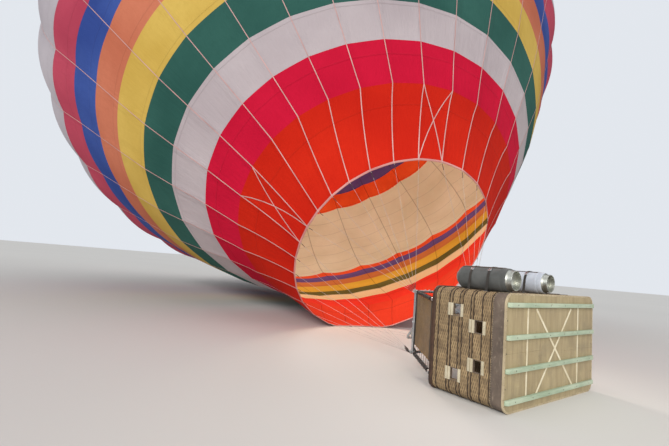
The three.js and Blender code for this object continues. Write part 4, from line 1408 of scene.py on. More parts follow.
def belt_over(middle):
    """A belt from anchor to anchor over the jacket."""
    lean = math.atan2(BELT_FOOT, ANCHOR_OUT)
    tangent = math.acos(BELT_OUT / math.hypot(ANCHOR_OUT, BELT_FOOT))
    angles = np.linspace(tangent - lean, math.pi + lean - tangent, 40)
    arc = [middle + Vector((BELT_OUT * math.cos(a), 0, BELT_OUT * math.sin(a))) for a in angles]
    ends = [middle + Vector((side * ANCHOR_OUT, 0, -BELT_FOOT)) for side in (1, -1)]
    return belt("strap", [ends[0], *arc, ends[1]], 0.038, (0, 1, 0), thick=0.0024)


def belt_buckle(middle):
    """A plate with its tongue, lying on the jacket's round."""
    plate = cuboid("buckle", (-0.024, -0.023, -0.002), (0.024, 0.023, 0.002), bevel=0.0015)
    tongue = bar("tongue", (0, -0.025, 0.003), (0, 0.025, 0.003), 0.0028, sides=10, bevel=0.0008)
    buckle = joined("buckle", [plate, tongue])
    turn = Matrix.Rotation(math.radians(BUCKLE_TURN), 4, "Y")
    buckle.data.transform(Matrix.Translation(middle + Vector((BUCKLE_X, 0, BUCKLE_Z))) @ turn)
    return buckle


def jacket_zip(here):
    """The zip's tape and its teeth, along the jacket."""
    run = [here + Vector((ZIP_X + 0.0005, y, 0.1572)) for y in np.linspace(0.165, 0.79, 40)]
    zip_tape = belt("zip", run, 0.020, (0.91, 0, 0.41), thick=0.003)
    tooth = cuboid("tooth", (-0.0022, -0.0013, -0.001), (0.0022, 0.0013, 0.0012), bevel=0)
    lean = Matrix.Rotation(math.radians(ZIP_TURN), 4, "Y")
    steps = np.arange(0.170, 0.785, 0.006)
    turns = [Matrix.Translation(here + Vector((ZIP_X, y, 0.1589))) @ lean for y in steps]
    return zip_tape, twins("teeth", tooth, turns)


def cylinder_valve(top):
    """The stem, the hand wheel and the gauge on a cylinder's end."""
    along = Vector((0, 1, 0))
    parts = [
        bar("valve_stem", top, top + along * 0.020, 0.022, sides=24, bevel=0.003),
        bar("valve_body", top + along * 0.014, top + along * 0.036, 0.014, bevel=0.002),
    ]
    hub = top + along * 0.038
    wheel = circle_points(hub, 0.026, along)[:-1]
    parts.append(drawn_tube("wheel", wheel, 0.0045, closed=True))
    for angle in (0, 60, 120):
        way = Vector((math.cos(math.radians(angle)), 0, math.sin(math.radians(angle)))) * 0.026
        parts.append(bar("spoke", hub - way, hub + way, 0.0025, sides=8))
    parts.append(turned("gauge", GAUGE_FACE, top + Vector((0.052, 0, 0.02)), along, steps=32))
    return parts


def cylinders():
    """The fuel cylinders with their jackets, belts, buckles, zips and valves."""
    straps, buckles, zips, fittings = [], [], [], []
    for number, x, low_end, cloth, slot in CYLINDERS:
        here = site(x, low_end, CYLINDER_UP)
        body = turned(f"gas_cylinder_{number}", CYLINDER_BODY, here, (0, 1, 0), steps=64)
        finish_piece(body, "root", "polished_steel", CYLINDER_STEEL, replaces=[f"fuel_cylinder_{number}"])
        jacket(number, x, low_end, cloth, slot)

        buckles.extend(belt_anchors(here))
        for height in BELTS:
            middle = here + Vector((0, height, 0))
            buckles.append(belt_buckle(middle))
            straps.append(belt_over(middle))
        zip_tape, teeth = jacket_zip(here)
        zips.append(zip_tape)
        fittings.append(teeth)
        fittings.extend(cylinder_valve(here + Vector((0, 0.828, 0))))
    finish_piece(joined("cylinder_straps", straps), "root", "dark_padding", DARK_WEBBING)
    finish_piece(joined("cylinder_buckles", buckles), "root", "polished_steel", STEEL)
    finish_piece(joined("jacket_zips", zips), "root", "dark_padding", DARK_WEBBING)
    finish_piece(joined("cylinder_fittings", fittings), "root", "polished_steel", BRASS)


# Poles, cloth panel and burner frame

FRAME = {"x": 0.45, "z": 0.30, "length": 1.75, "width": 1.06, "tube": 0.04, "y": 1.88, "corner": 0.05}
FRAME_CORNERS = {
    # name: pole's foot, and its head under the frame's corner, as X and Z
    "near_low": ((0.033, 0.22), (0.47, 0.32)),
    "near_high": ((0.033, 1.28), (0.47, 1.34)),
    "far_low": ((2.617, 0.22), (2.18, 0.32)),
    "far_high": ((2.617, 1.28), (2.18, 1.34)),
}
POLE_LOW, POLE_HIGH = BASKET["height"] + SEAT, FRAME["y"] - SEAT


def pole_at(name, y):
    foot, head = FRAME_CORNERS[name]
    share = (y - POLE_LOW) / (POLE_HIGH - POLE_LOW)
    return site(foot[0] + (head[0] - foot[0]) * share, y, foot[1] + (head[1] - foot[1]) * share)


CUFF_ENDS = (0.085, 0.915)
CUFF_RINGS = [
    # how far past the cuff's middle as a share of the pole, radius of the ring, of its cord
    (0.0, 0.0255, 0.0032),
    (0.012, 0.0262, 0.0028),
]


def pole_covers():
    """Padded sleeves round the poles, gathered by cuffs at both ends and by a zip."""
    cuffs, collars, zips = [], [], []
    for name in FRAME_CORNERS:
        low, high = pole_at(name, POLE_LOW + 0.004), pole_at(name, POLE_HIGH - 0.004)
        share = np.linspace(0, 1, 44)
        radii = np.interp(share, [0, 0.02, 0.06, 0.94, 0.98, 1], [0.020, 0.025, 0.0275, 0.0275, 0.025, 0.020])
        for end in CUFF_ENDS:
            radii = radii - 0.004 * np.exp(-((share - end) / 0.012) ** 2)
        cover = soft_tube(f"pole_cover_{name}", low, high, radii, creases=0.0012)

        def held(places, low=np.array(low), high=np.array(high)):
            along = (places - low) @ (high - low) / ((high - low) @ (high - low))
            return (along < 0.10) | (along > 0.90)

        filled(cover, cap=0.003, held=held)
        finish_piece(cover, "root", "dark_padding", POLE_CLOTH, replaces=["pole_" + name])
        way = (high - low).normalized()
        for end in CUFF_ENDS:
            for past, radius, thick in CUFF_RINGS:
                loop = circle_points(low.lerp(high, end + past), radius, way, steps=32)[:-1]
                cuffs.append(drawn_tube("cuff", loop, thick, closed=True))
        outward_side = Vector((-1 if "near" in name else 1, 0, 0))
        side = (outward_side - way * outward_side.dot(way)).normalized()
        run = [low.lerp(high, place) + side * 0.0283 for place in np.linspace(0.12, 0.88, 30)]
        zips.append(belt("zip", run, 0.012, way.cross(side), thick=0.0022))
        collar_low, collar_high = low.lerp(high, 0.955), pole_at(name, POLE_HIGH - 0.0005)
        collars.append(bar("collar", collar_low, collar_high, 0.0285, sides=32, bevel=0.003))
        foot_low, foot_high = pole_at(name, POLE_LOW + 0.0005), low.lerp(high, 0.035)
        collars.append(bar("socket", foot_low, foot_high, 0.0285, sides=32, bevel=0.003))
    finish_piece(joined("pole_cuffs", cuffs), "root", "dark_padding", DARK_CORD)
    finish_piece(joined("pole_zips", zips), "root", "dark_padding", DARK_WEBBING)
    finish_piece(joined("pole_sockets", collars), "root", "burner_steel", STEEL)


PANEL_LOW, PANEL_HIGH = POLE_LOW + 0.03, POLE_HIGH - 0.02
PANEL_WIDTH = 0.66
POLE_RADIUS = 0.03
EYELET = [
    # radius, height
    (0.0045, -0.0022), (0.0095, -0.0022), (0.0095, 0.0022), (0.0045, 0.0022), (0.0045, -0.0022),
]


def panel_point(share_y, share_z):
    """Where the cloth panel is: shares from its rim side to its frame side, and from low to high."""
    y = PANEL_LOW + (PANEL_HIGH - PANEL_LOW) * share_y
    low, high = pole_at("near_low", y), pole_at("near_high", y)
    bottom = low.z + POLE_RADIUS + 0.11
    top = high.z - POLE_RADIUS - SEAT
    return Vector((low.x + (high.x - low.x) * share_z, low.y, bottom + (top - bottom) * share_z))


def cloth_panel():
    """Canvas laced between the near poles, with its hems, eyelets and lacing."""
    columns, rows = 44, 60
    points, chart = np.empty((rows + 1, columns + 1, 3)), np.empty((rows + 1, columns + 1, 2))
    for row in range(rows + 1):
        for column in range(columns + 1):
            u, v = column / columns, row / rows
            belly = 0.014 * math.sin(math.pi * u) * math.sin(math.pi * v) ** 0.8
            folds = 0.0035 * math.sin(9 * u + 16 * v * (1 - u)) * math.sin(math.pi * u) * (0.4 + v)
            scallop = 0.012 * abs(math.sin(6 * math.pi * u)) * (1 - v) ** 6
            place = panel_point(u, v) + Vector((belly + folds, 0, scallop))
            points[row, column] = place
            chart[row, column] = (u * PANEL_WIDTH, v * 0.94)
    panel = laid_grid("canvas_panel", points, chart)
    modify(panel, "SOLIDIFY", thickness=0.0022, offset=0)
    face_out(panel)
    smooth(panel, 60)
    finish_piece(panel, "root", "olive_cloth", OLIVE_CLOTH, replaces=["cloth_panel"])

    hems, eyes, cords = [], [], []
    for share_y in (0.012, 0.988):
        edge = points[::2, round(share_y * columns)]
        run = [Vector(place) - Vector((0.0006, 0, 0)) for place in edge]
        hems.append(belt("hem", run, 0.026, (0.5, 1, 0), thick=0.0052))
    eye = turned("eyelet", EYELET, steps=16)
    spots = []
    for column in range(3, columns, 6):
        for row in (1, rows - 1):
            spots.append((Vector(points[row, column]), column / columns, row > 1))
    eyes.append(twins("eyelets", eye, [upright_to(place, (1, -0.6, 0)) for place, _, _ in spots]))
    for place, share_y, at_top in spots:
        y = PANEL_LOW + (PANEL_HIGH - PANEL_LOW) * share_y
        name = "near_high" if at_top else "near_low"
        centre = pole_at(name, y)
        way = (pole_at(name, POLE_HIGH) - pole_at(name, POLE_LOW)).normalized()
        loop = circle_points(centre, 0.0325, way, steps=28)[:-1]
        cords.append(drawn_tube("lacing", loop, 0.0022, sides=8, closed=True))
        knot = centre + (place - centre).normalized() * 0.033
        cords.append(bar("lacing", knot, place, 0.0022, sides=8))
    finish_piece(joined("panel_hems", hems), "root", "olive_cloth", DARK_WEBBING)
    finish_piece(joined("panel_eyelets", eyes), "root", "burner_steel", BRASS)
    finish_piece(joined("panel_lacing", cords), "root", "dark_padding", DARK_CORD)


def rounded_outline(low_x, low_z, high_x, high_z, radius, y, steps=6):
    """Corners of a rounded rectangle in X and Z at the height y."""
    corners = []
    for cx, cz, start in (
        (high_x - radius, high_z - radius, 0),
        (low_x + radius, high_z - radius, 90),
        (low_x + radius, low_z + radius, 180),
        (high_x - radius, low_z + radius, 270),
    ):
        for step in range(steps + 1):
            angle = math.radians(start + 90 * step / steps)
            corners.append(Vector((cx + radius * math.cos(angle), y, cz + radius * math.sin(angle))))
    return corners


def square_ring(name, low_x, low_z, high_x, high_z, thick, radius, y, bevel):
    outer = rounded_outline(low_x, low_z, high_x, high_z, radius, y)
    inner_radius = max(radius - thick, thick / 2)
    inner = rounded_outline(low_x + thick, low_z + thick, high_x - thick, high_z - thick, inner_radius, y)
    return raised_ring(name, outer, inner, (0, thick, 0), bevel=bevel)


BOSS = [
    # radius, height
    (0.0135, 0.0), (0.030, 0.0), (0.030, 0.004), (0.027, 0.007), (0.016, 0.007), (0.0135, 0.005),
    (0.0135, 0.0),
]


def burner_frame():
    """The square of tube over the poles, with pin bosses, corner gussets and rope eyes."""
    x, z, length, width, tube = (FRAME[key] for key in ("x", "z", "length", "width", "tube"))
    ring = square_ring("frame_ring", x, z, x + length, z + width, tube, FRAME["corner"], FRAME["y"], 0.006)
    ring.data.transform(Matrix.Translation(CORNER))
    finish_piece(ring, "root", "burner_steel", STEEL, replaces=["burner_frame"])

    extras = []
    middle_y, middle_z = FRAME["y"] + tube / 2, z + width / 2
    for side_x in (x, x + length):
        out = -1 if side_x == x else 1
        for face, way in ((side_x, out), (side_x - out * tube, -out)):
            start = site(face - way * 0.002, middle_y, middle_z)
            extras.append(turned("boss", BOSS, start, (way, 0, 0), steps=32))
    for cx, cz in ((x, z), (x + length, z), (x, z + width), (x + length, z + width)):
        in_x = 1 if cx == x else -1
        in_z = 1 if cz == z else -1
        corner_x, corner_z = cx + in_x * tube, cz + in_z * tube
        gusset = [
            site(corner_x - in_x * 0.002, middle_y - 0.003, corner_z - in_z * 0.002),
            site(corner_x + in_x * 0.085, middle_y - 0.003, corner_z - in_z * 0.002),
            site(corner_x - in_x * 0.002, middle_y - 0.003, corner_z + in_z * 0.085),
        ]
        extras.append(raised("gusset", gusset, (0, 0.006, 0), bevel=0.0015))
        for step in range(2):
            along = 0.24 + 0.10 * step
            extras.append(drawn_tube("rope_eye", [
                site(cx + in_x * along, FRAME["y"] + 0.012, cz + in_z * 0.001),
                site(cx + in_x * along, FRAME["y"] + 0.012, cz - in_z * 0.016),
                site(cx + in_x * (along + 0.03), FRAME["y"] + 0.012, cz - in_z * 0.016),
                site(cx + in_x * (along + 0.03), FRAME["y"] + 0.012, cz + in_z * 0.001),
            ], 0.004, sides=12))
    finish_piece(joined("frame_fittings", extras), "root", "burner_steel", STEEL)


# Gimbal ring and burner. Both are drawn upright about the gimbal's centre, then tipped.

TIPPED = Matrix.Translation(PIVOT) @ Matrix.Rotation(math.radians(35), 4, "X")
GIMBAL = {"half_x": 0.79, "half_z": 0.40, "tube": 0.03, "corner": 0.06}
CAN_PLACES = [(-0.14, -0.14), (0.14, -0.14), (0.14, 0.14), (-0.14, 0.14)]
MANIFOLD_HALF, MANIFOLD_LOW, MANIFOLD_HIGH = 0.28, -0.09, -0.04
CAN_LOW, CAN_HIGH = MANIFOLD_HIGH + SEAT, MANIFOLD_HIGH + SEAT + 0.33


def tip(piece):
    piece.data.transform(TIPPED)
    return piece


PIN_RADIUS = 0.012
COLLAR = [
    # radius, height
    (0.0125, 0.0), (0.026, 0.0), (0.026, 0.008), (0.021, 0.013), (0.0125, 0.013), (0.0125, 0.0),
]
BUSH = [
    # radius, height
    (0.0135, 0.0), (0.024, 0.0), (0.024, 0.003), (0.020, 0.0045), (0.0135, 0.0045), (0.0135, 0.0),
]


def gimbal():
    """The ring that tips in the frame: its pins, and the bushes that the burner's pins turn in."""
    half_x, half_z, tube = GIMBAL["half_x"], GIMBAL["half_z"], GIMBAL["tube"]
    corner = GIMBAL["corner"]
    ring = square_ring("gimbal_tube", -half_x, -half_z, half_x, half_z, tube, corner, -tube / 2, 0.005)
    pieces = [ring]
    for side in (-1, 1):
        start, end = (side * (half_x - 0.004), 0, 0), (side * (FRAME["length"] / 2 - 0.01), 0, 0)
        pieces.append(bar("pin", start, end, PIN_RADIUS, sides=32, bevel=0.0015))
        pieces.append(turned("collar", COLLAR, (side * (half_x - 0.001), 0, 0), (side, 0, 0), steps=32))
        for face, way in ((half_z, 1), (half_z - tube, -1)):
            place = (0, 0, side * (face - 0.001 * way))
            pieces.append(turned("bush", BUSH, place, (0, 0, side * way), steps=32))
        for end in (-1, 1):
            pieces.append(bar(
                "brace", (side * (half_x - 0.16), 0, end * (half_z - 0.012)),
                (side * (half_x - 0.012), 0, end * (half_z - 0.16)), 0.008, sides=16,
            ))
    assembly = tip(joined("gimbal_assembly", pieces))
    finish_piece(assembly, "gimbal", "burner_steel", STEEL, replaces=["gimbal_ring"])


def coil_points(cx, cz, radius, low, high, turns):
    angles = np.linspace(0, turns * 2 * math.pi, round(turns * 28) + 1)
    return [
        Vector((cx + radius * math.cos(a), low + (high - low) * a / angles[-1], cz + radius * math.sin(a)))
        for a in angles
    ]


CAN_OUT, CAN_WALL, CAN_RIB = 0.1225, 0.0022, 0.0024
JET_RING = 0.058
COILS = [
    # radius, lowest and highest above the can's foot, turns
    (0.098, 0.06, 0.27, 6.5),
    (0.074, 0.05, 0.20, 5.0),
]
FOUR_WAYS = [(1, 0), (0, 1), (-1, 0), (0, -1)]


def can_profile(low, high):
    """A can's wall with three ribs and a rolled lip, as (radius, height)."""
    out, inner, rib_out = CAN_OUT, CAN_OUT - CAN_WALL, CAN_OUT + CAN_RIB
    profile = [(out, low + 0.002)]
    for rib in (low + 0.055, low + 0.165, low + 0.275):
        profile += [(out, rib - 0.008), (rib_out, rib - 0.003), (rib_out, rib + 0.003), (out, rib + 0.008)]
    return profile + [
        (out, high - 0.006), (rib_out, high - 0.003), (out + 0.0018, high), (out - 0.001, high),
        (inner, high - 0.004), (inner, low + 0.002), (out, low + 0.002),
    ]


def burner_cans():
    """Four cans with rolled lips and ribs, each round its vaporising coil and ring of jets."""
    low, up = CAN_LOW, (0, 1, 0)
    for number, (cx, cz) in enumerate(CAN_PLACES, start=1):

        def at(height, way=(0, 0), out=0.0):
            return (cx + way[0] * out, low + height, cz + way[1] * out)

        parts = [turned(f"can_{number}", can_profile(low, CAN_HIGH), (cx, 0, cz), up, steps=56)]
        for radius, start, end, turns in COILS:
            line = coil_points(cx, cz, radius, low + start, low + end, turns)
            parts.append(drawn_tube("coil", line, 0.0085, sides=12))
        ring = circle_points(at(0.03), JET_RING, up, steps=40)[:-1]
        parts.append(drawn_tube("jet_ring", ring, 0.0075, closed=True))
        jet = bar("jet", (0, 0, 0), (0, 0, 0.014), 0.004, sides=10, end_radius=0.0025)
        places = circle_points(at(0.034), JET_RING, up, steps=14)[:-1]
        parts.append(twins("jets", jet, [upright_to(place, up) for place in places]))
        for way in FOUR_WAYS:
            parts.append(bar("foot", at(-0.001, way, 0.118), at(0.064, way, 0.098), 0.005))
        parts.append(bar("stem", at(-0.004), at(0.03), 0.014, sides=24, bevel=0.002))
        for way in FOUR_WAYS:
            parts.append(bar("spoke", at(0.028), at(0.03, way, JET_RING), 0.005))
        whole = tip(joined(f"burner_can_dressed_{number}", parts))
        finish_piece(whole, "burner", "burner_steel", HOT_STEEL, replaces=[f"burner_can_{number}"])


MANIFOLD_GAUGE = [
    # radius, height
    (0.0, 0.0), (0.022, 0.0), (0.026, -0.004), (0.026, -0.022), (0.024, -0.026), (0.021, -0.024),
    (0.0, -0.023),
]
EAR = [
    # X, height
    (-0.035, MANIFOLD_HIGH - 0.006), (0.035, MANIFOLD_HIGH - 0.006), (0.030, 0.012), (0.018, 0.026),
    (0.0, 0.030), (-0.018, 0.026), (-0.030, 0.012),
]


def swing_ears():
    """The two ears that the burner swings by, each with its pin and nut."""
    half, parts = MANIFOLD_HALF, []
    for side in (-1, 1):
        plate = [Vector((x, y, side * half)) for x, y in EAR]
        parts.append(raised("ear", plate, (0, 0, -side * 0.014), bevel=0.002))
        start, end = (0, 0, side * (half - 0.012)), (0, 0, side * (GIMBAL["half_z"] - 0.005))
        parts.append(bar("pin", start, end, PIN_RADIUS, sides=32, bevel=0.0015))
        start, end = (0, 0, side * (half - 0.016)), (0, 0, side * (half - 0.024))
        parts.append(bar("nut", start, end, 0.020, sides=6, bevel=0.0015))
    return parts


def can_valves(steel, brass, handles):
    """Under each can, its valve with union, cap and pipe, and the lever with its grip."""
    for cx, cz in CAN_PLACES:
        way = -1 if cx < 0 else 1
        lever_way = -1 if cz < 0 else 1

        def at(height, out=0.0, across=0.0):
            return (cx + way * out, MANIFOLD_LOW + height, cz + lever_way * across)

        low = (cx - 0.033, MANIFOLD_LOW - 0.068, cz - 0.033)
        high = (cx + 0.033, MANIFOLD_LOW + 0.012, cz + 0.033)
        steel.append(cuboid("valve", low, high, bevel=0.006, segments=3))
        steel.append(bar("seat", at(0.01), (cx, CAN_LOW, cz), 0.040, sides=32, bevel=0.004))
        union = at(-0.035, out=0.030), at(-0.035, out=0.052)
        brass.append(bar("union", *union, 0.013, sides=6, bevel=0.002))
        brass.append(bar("cap", at(-0.066), at(-0.074), 0.018, sides=6, bevel=0.002))
        pipe = [at(-0.035, 0.05), at(-0.033, 0.075), at(-0.02, 0.092), at(0.004, 0.098)]
        brass.append(drawn_tube("pipe", pipe, 0.006, sides=12))
        lever = [at(-0.05, across=0.03), at(-0.058, across=0.075), at(-0.066, across=0.13)]
        steel.append(drawn_tube("lever", lever, 0.005, sides=12))
        grip = at(-0.0605, across=0.085), at(-0.068, across=0.138)
        handles.append(bar("grip", *grip, 0.010, sides=20, bevel=0.004))


def burner_manifold():
    """The tray under the cans, with the ears it swings by, valves, gauges, feeds and pilot pipes."""
    half, low, high = MANIFOLD_HALF, MANIFOLD_LOW, MANIFOLD_HIGH
    reach, wide = half - 0.04, 0.022
    steel = [
        square_ring("tray", -half, -half, half, half, 0.05, 0.03, low, 0.004),
        cuboid("cross", (-reach, low + 0.006, -wide), (reach, high - 0.006, wide), bevel=0.004),
        cuboid("cross", (-wide, low + 0.008, -reach), (wide, high - 0.008, reach), bevel=0.004),
        *swing_ears(),
    ]
    brass, handles = [], []
    can_valves(steel, brass, handles)
    for side in (-1, 1):
        x = side * 0.14
        brass.append(turned("gauge", MANIFOLD_GAUGE, (x, low - 0.004, 0.0), (0, 1, 0), steps=32))
        feed = [(x, low + 0.02, z) for z in (-0.14, 0.0, 0.14)]
        steel.append(drawn_tube("feed", feed, 0.009, sides=12))
        for end in (-1, 1):
            pilot = [
                (side * out, height, end * out)
                for out, height in ((0.06, low + 0.03), (0.075, high + 0.03), (0.12, high + 0.055))
            ]
            brass.append(drawn_tube("pilot", pilot, 0.0035, sides=10))
    block = tip(joined("burner_manifold", steel))
    finish_piece(block, "burner", "burner_steel", STEEL, replaces=["burner_block"])
    finish_piece(tip(joined("burner_unions", brass)), "burner", "burner_steel", BRASS)
    finish_piece(tip(joined("burner_grips", handles)), "burner", "dark_padding", GRIP)


# Flying wires, from the frame's corners to the ends of the load tapes

WIRE_CORNERS = [
    # corner, first of its seven tapes
    ("near_high", 0),
    ("near_low", 7),
    ("far_low", 14),
    ("far_high", 21),
]
WIRES_PER_CORNER = 7
LOWER_SLEEVE = [0.0045, 0.0058, 0.0056, 0.0045]
UPPER_SLEEVE = [0.0052, 0.0068, 0.0064, 0.0066, 0.0052]


def lip_end(tape_number, beyond=0.0):
    along = np.array(-HEM - beyond)
    return Vector(cloth_surface(along, np.array(float(tape_number)), FABRIC / 2))


def flying_wires():
    """Seven wires at each corner, from a shackle on the frame to eyes at the lip."""
    shackle_y = FRAME["y"] + FRAME["tube"] + SEAT
    for name, first in WIRE_CORNERS:
        _, head = FRAME_CORNERS[name]
        hub = site(head[0], shackle_y + 0.02, head[1])
        spread = lip_end(first + WIRES_PER_CORNER - 1) - lip_end(first)
        spread.y = 0
        spread.normalize()
        wires, sleeves = [], []
        for step in range(WIRES_PER_CORNER):
            start = hub + spread * (step - 3) * 0.010
            end = lip_end(first + step, beyond=0.014)
            way = (end - start).normalized()
            line = [start + (end - start) * share for share in np.linspace(0, 1, 9)]
            wires.append(drawn_tube("wire", line, 0.0026, sides=8))
            sleeves.append(soft_tube("sleeve", end - way * 0.15, end - way * 0.012, UPPER_SLEEVE, sides=10))
            low, high = start + way * 0.035, start + way * 0.13
            sleeves.append(soft_tube("sleeve", low, high, LOWER_SLEEVE, sides=10))
            upward = (lip_end(first + step) - end).normalized()
            across = upward.cross(way).normalized()
            ring = [
                end + upward * 0.011 * math.cos(a) + across * 0.007 * math.sin(a)
                for a in np.linspace(0, 2 * math.pi, 17)[:-1]
            ]
            wires.append(drawn_tube("eye", ring, 0.0022, sides=8, closed=True))
        low, high = hub + Vector((-0.030, -0.020, -0.030)), hub + Vector((0.030, -0.013, 0.030))
        plate = cuboid("plate", low, high, bevel=0.002)
        low = hub - spread * 0.004 + Vector((-0.006, -0.016, -0.006))
        lug = cuboid("lug", low, hub + Vector((0.006, 0.004, 0.006)), bevel=0.002)
        pin = bar("pin", hub - spread * 0.034, hub + spread * 0.034, 0.0055, sides=16, bevel=0.001)
        bow = [
            hub + spread * 0.030 * math.cos(a) + Vector((0, 0.018, 0)) * math.sin(a)
            for a in np.linspace(0, math.pi, 17)
        ]
        shackle = drawn_tube("bow", bow, 0.005, sides=12)
        fan = joined(f"flying_wires_{name}", [*wires, plate, lug, pin, shackle])
        finish_piece(fan, "root", "wire_steel", WIRE_STEEL, replaces=["wires_" + name])
        finish_piece(joined(f"wire_sleeves_{name}", sleeves), "root", "dark_padding", SLEEVE_CLOTH)


# Lip of the mouth, crossing tapes, crown web and parachute vent


def mouth_hem():
    """Tape folded over the lip."""
    count = GORES * 16
    gores = np.arange(count, -1, -1) / 16
    rows = [
        # along, depth from the outside
        (-0.0006, -0.0025), (-0.012, -0.0036), (-0.030, -0.0034), (-0.0375, -0.0012), (-0.0396, 0.005),
        (-0.0375, 0.0112), (-0.030, 0.0134), (-0.012, 0.0136), (-0.0006, 0.0125), (-0.0006, -0.0025),
    ]
    panel_width = 2 * math.pi * RING_RADIUS[0] / GORES
    points, chart = [], []
    run = 0.0
    for index, (along, depth) in enumerate(rows):
        if index:
            run += math.dist(rows[index - 1], rows[index])
        points.append(cloth_surface(np.full(count + 1, along), gores, depth))
        chart.append(np.stack([np.full(count + 1, run), gores * panel_width], axis=-1))
    hem = laid_grid("lip_tape", np.array(points), np.array(chart))
    close_seams(hem, 0.00005)
    face_out(hem)
    smooth(hem, 60)
    finish_piece(hem, "root", "load_tape", LIP_WEAVE, replaces=["mouth_hem"])


def crossing_tapes():
    """Pairs of tapes that change places between the first colour change and the lip."""
    strips = []
    lip = -0.03
    alongs = np.concatenate([[lip], band_rows(0, THROAT_END)])
    share = (THROAT_END - alongs) / (THROAT_END - lip)
    for here, there in ((0, -1), (6, 7), (13, 14), (20, 21)):
        for first, last in ((here, there), (there, here)):
            crossing = first + (last - first) * share
            strips.append(tape("cross", alongs, crossing, depth=-TAPE_PROUD - 0.003))
    tapes = joined("crossing_tapes", strips)
    modify(tapes, "SOLIDIFY", thickness=0.003, offset=-1)
    smooth(tapes)
    finish_piece(tapes, "root", "load_tape", TAPE_WEAVE)


CROWN_RING = {"radius": 0.285, "thick": 0.012}


def crown_web():
    """The load tapes' ends over the vent opening, and the ring that they are sewn round."""
    stations = along_at(np.linspace(VENT_OPENING - 0.004, CROWN_RING["radius"], 24))
    strips = []
    for number in range(GORES):
        strips.append(tape("web", stations, np.full(len(stations), float(number)), depth=0.0005))
    web = joined("crown_tapes", strips)
    modify(web, "SOLIDIFY", thickness=0.003, offset=-1)
    smooth(web)
    finish_piece(web, "root", "load_tape", TAPE_WEAVE, replaces=["crown_web"])
    seat = MOUTH + AXIS * float(along_at(CROWN_RING["radius"]))
    loop = circle_points(seat, CROWN_RING["radius"], AXIS, steps=96)[:-1]
    ring = drawn_tube("crown_ring", loop, CROWN_RING["thick"], sides=16, closed=True)
    finish_piece(ring, "root", "polished_steel", STEEL)


VENT_RADIUS = 3.7
VENT_HOLLOW = -0.02


def parachute_vent():
    """The vent's panel under the crown, and the lines that draw it down."""
    radii = np.concatenate([np.linspace(VENT_RADIUS, 0.35, 26), [0.2, 0.08, 0.02, 0.004]])
    gores = np.linspace(GORES, 0, GORES * 6 + 1)
    along, gore = np.meshgrid(along_at(radii), gores, indexing="ij")
    points = cloth_surface(along, gore, FABRIC + 0.0012, VENT_HOLLOW)
    vent = laid_grid("vent_panel", points, np.stack([gore, along], axis=-1))
    close_seams(vent, 0.0003)
    edit_all(vent, (bpy.ops.mesh.fill_holes, {"sides": GORES * 6 - 8}))
    line_inside(vent, "orange_red", 0.008)
    finish_piece(vent, "vent", "orange_red_cloth", replaces=["parachute_vent"])

    lines = []
    gather = MOUTH + AXIS * (float(along_at(3.6)) - 1.9)
    for number in range(0, GORES, 2):
        edge = cloth_surface(along_at(VENT_RADIUS - 0.06), float(number), 0.024, VENT_HOLLOW)
        lines.append(bar("line", Vector(edge), gather, 0.003, sides=6))
    loop = circle_points(gather, 0.04, AXIS, steps=24)[:-1]
    lines.append(drawn_tube("pulley", loop, 0.009, sides=12, closed=True))
    finish_piece(joined("vent_lines", lines), "vent", "load_tape", LIGHT_ROPE)


cylinders()
pole_covers()
cloth_panel()
burner_frame()
gimbal()
burner_cans()
burner_manifold()
flying_wires()
mouth_hem()
crossing_tapes()
crown_web()
parachute_vent()


# Floor, light and camera


def studio():
    start_clean()
    bpy.ops.mesh.primitive_plane_add(size=600, location=(0, 0, FLOOR_HEIGHT))
    floor = named(bpy.context.object, "floor")
    shader = Shader("pale_floor")
    patches = shader.noise(shader.place((1, 1, 1)), 0.05, 3.0)
    shade = shader.blend(patches, tone(0xD8D6D2), tone(0xCFCDC9))
    floor.data.materials.append(shader.finish(Base_Color=shade, Roughness=0.9))

    world = bpy.data.worlds.new("studio")
    world.use_nodes = True
    nodes, links = world.node_tree.nodes, world.node_tree.links
    nodes["Background"].inputs["Color"].default_value = (0.90, 0.94, 1.0, 1)
    seen = nodes.new("ShaderNodeLightPath")
    strength = nodes.new("ShaderNodeMapRange")
    strength.inputs["To Min"].default_value = 0.38
    strength.inputs["To Max"].default_value = 0.85
    links.new(seen.outputs["Is Camera Ray"], strength.inputs["Value"])
    links.new(strength.outputs[0], nodes["Background"].inputs["Strength"])
    bpy.context.scene.world = world
    bpy.context.scene.view_settings.view_transform = "Standard"


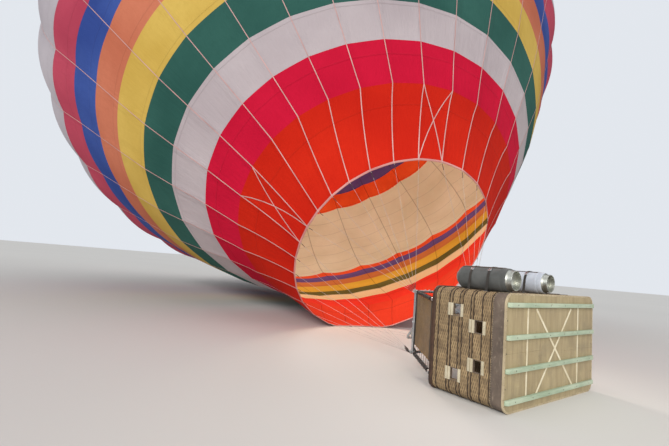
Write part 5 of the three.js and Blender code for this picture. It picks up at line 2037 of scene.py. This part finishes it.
def soft_light(name, place, target, size, beam, power, colour=(1, 1, 1)):
    """A round soft box aimed at a place. beam is the angle that its light fans out over, in degrees."""
    lamp = bpy.data.lights.new(name, "AREA")
    lamp.shape = "DISK"
    lamp.size = size
    lamp.spread = math.radians(beam)
    lamp.energy = power
    lamp.color = colour
    holder = bpy.data.objects.new(name, lamp)
    holder.location = place
    holder.rotation_euler = (Vector(target) - Vector(place)).to_track_quat("-Z", "Y").to_euler()
    holder.visible_camera = False
    bpy.context.scene.collection.objects.link(holder)


def sunlight(name, come_from, strength, spread, colour=(1, 1, 1)):
    """Even light from one direction. spread is the angle that its source fills, in degrees."""
    lamp = bpy.data.lights.new(name, "SUN")
    lamp.energy = strength
    lamp.angle = math.radians(spread)
    lamp.color = colour
    holder = bpy.data.objects.new(name, lamp)
    holder.rotation_euler = (-Vector(come_from)).to_track_quat("-Z", "Y").to_euler()
    bpy.context.scene.collection.objects.link(holder)


def glow(name, place, radius, power, colour):
    lamp = bpy.data.lights.new(name, "POINT")
    lamp.shadow_soft_size = radius
    lamp.energy = power
    lamp.color = colour
    holder = bpy.data.objects.new(name, lamp)
    holder.location = place
    holder.visible_camera = False
    bpy.context.scene.collection.objects.link(holder)


def camera():
    lens = bpy.data.cameras.new("camera")
    lens.sensor_width = 36.0
    lens.lens = 21.525
    lens.clip_end = 1000
    holder = bpy.data.objects.new("camera", lens)
    heading, pitch, roll = (math.radians(a) for a in (36.69, 5.97, 4.76))
    turn = Matrix.Rotation(-heading, 4, "Z") @ Matrix.Rotation(math.pi / 2 + pitch, 4, "X")
    turn = turn @ Matrix.Rotation(roll, 4, "Z")
    holder.matrix_world = Matrix.Translation(site(-4.853, -2.7536, 1.6698)) @ turn
    bpy.context.scene.collection.objects.link(holder)
    bpy.context.scene.camera = holder


studio()
sunlight("key", (-28, -14, 16), 1.7, 20)
sunlight("fill", (20, -14, 10), 0.4, 40)
sunlight("top", (0, 2, 30), 0.7, 60)
soft_light("basket", site(-8.0, -14.0, 6.5), site(1.3, 0.6, 0.8), 6, 50, 115, (1.0, 0.91, 0.76))
glow("inside_low", MOUTH + AXIS * 4.0, 0.8, 300, (1.0, 0.86, 0.66))
glow("inside_high", MOUTH + AXIS * 13.0, 2.5, 2000, (1.0, 0.97, 0.92))
camera()
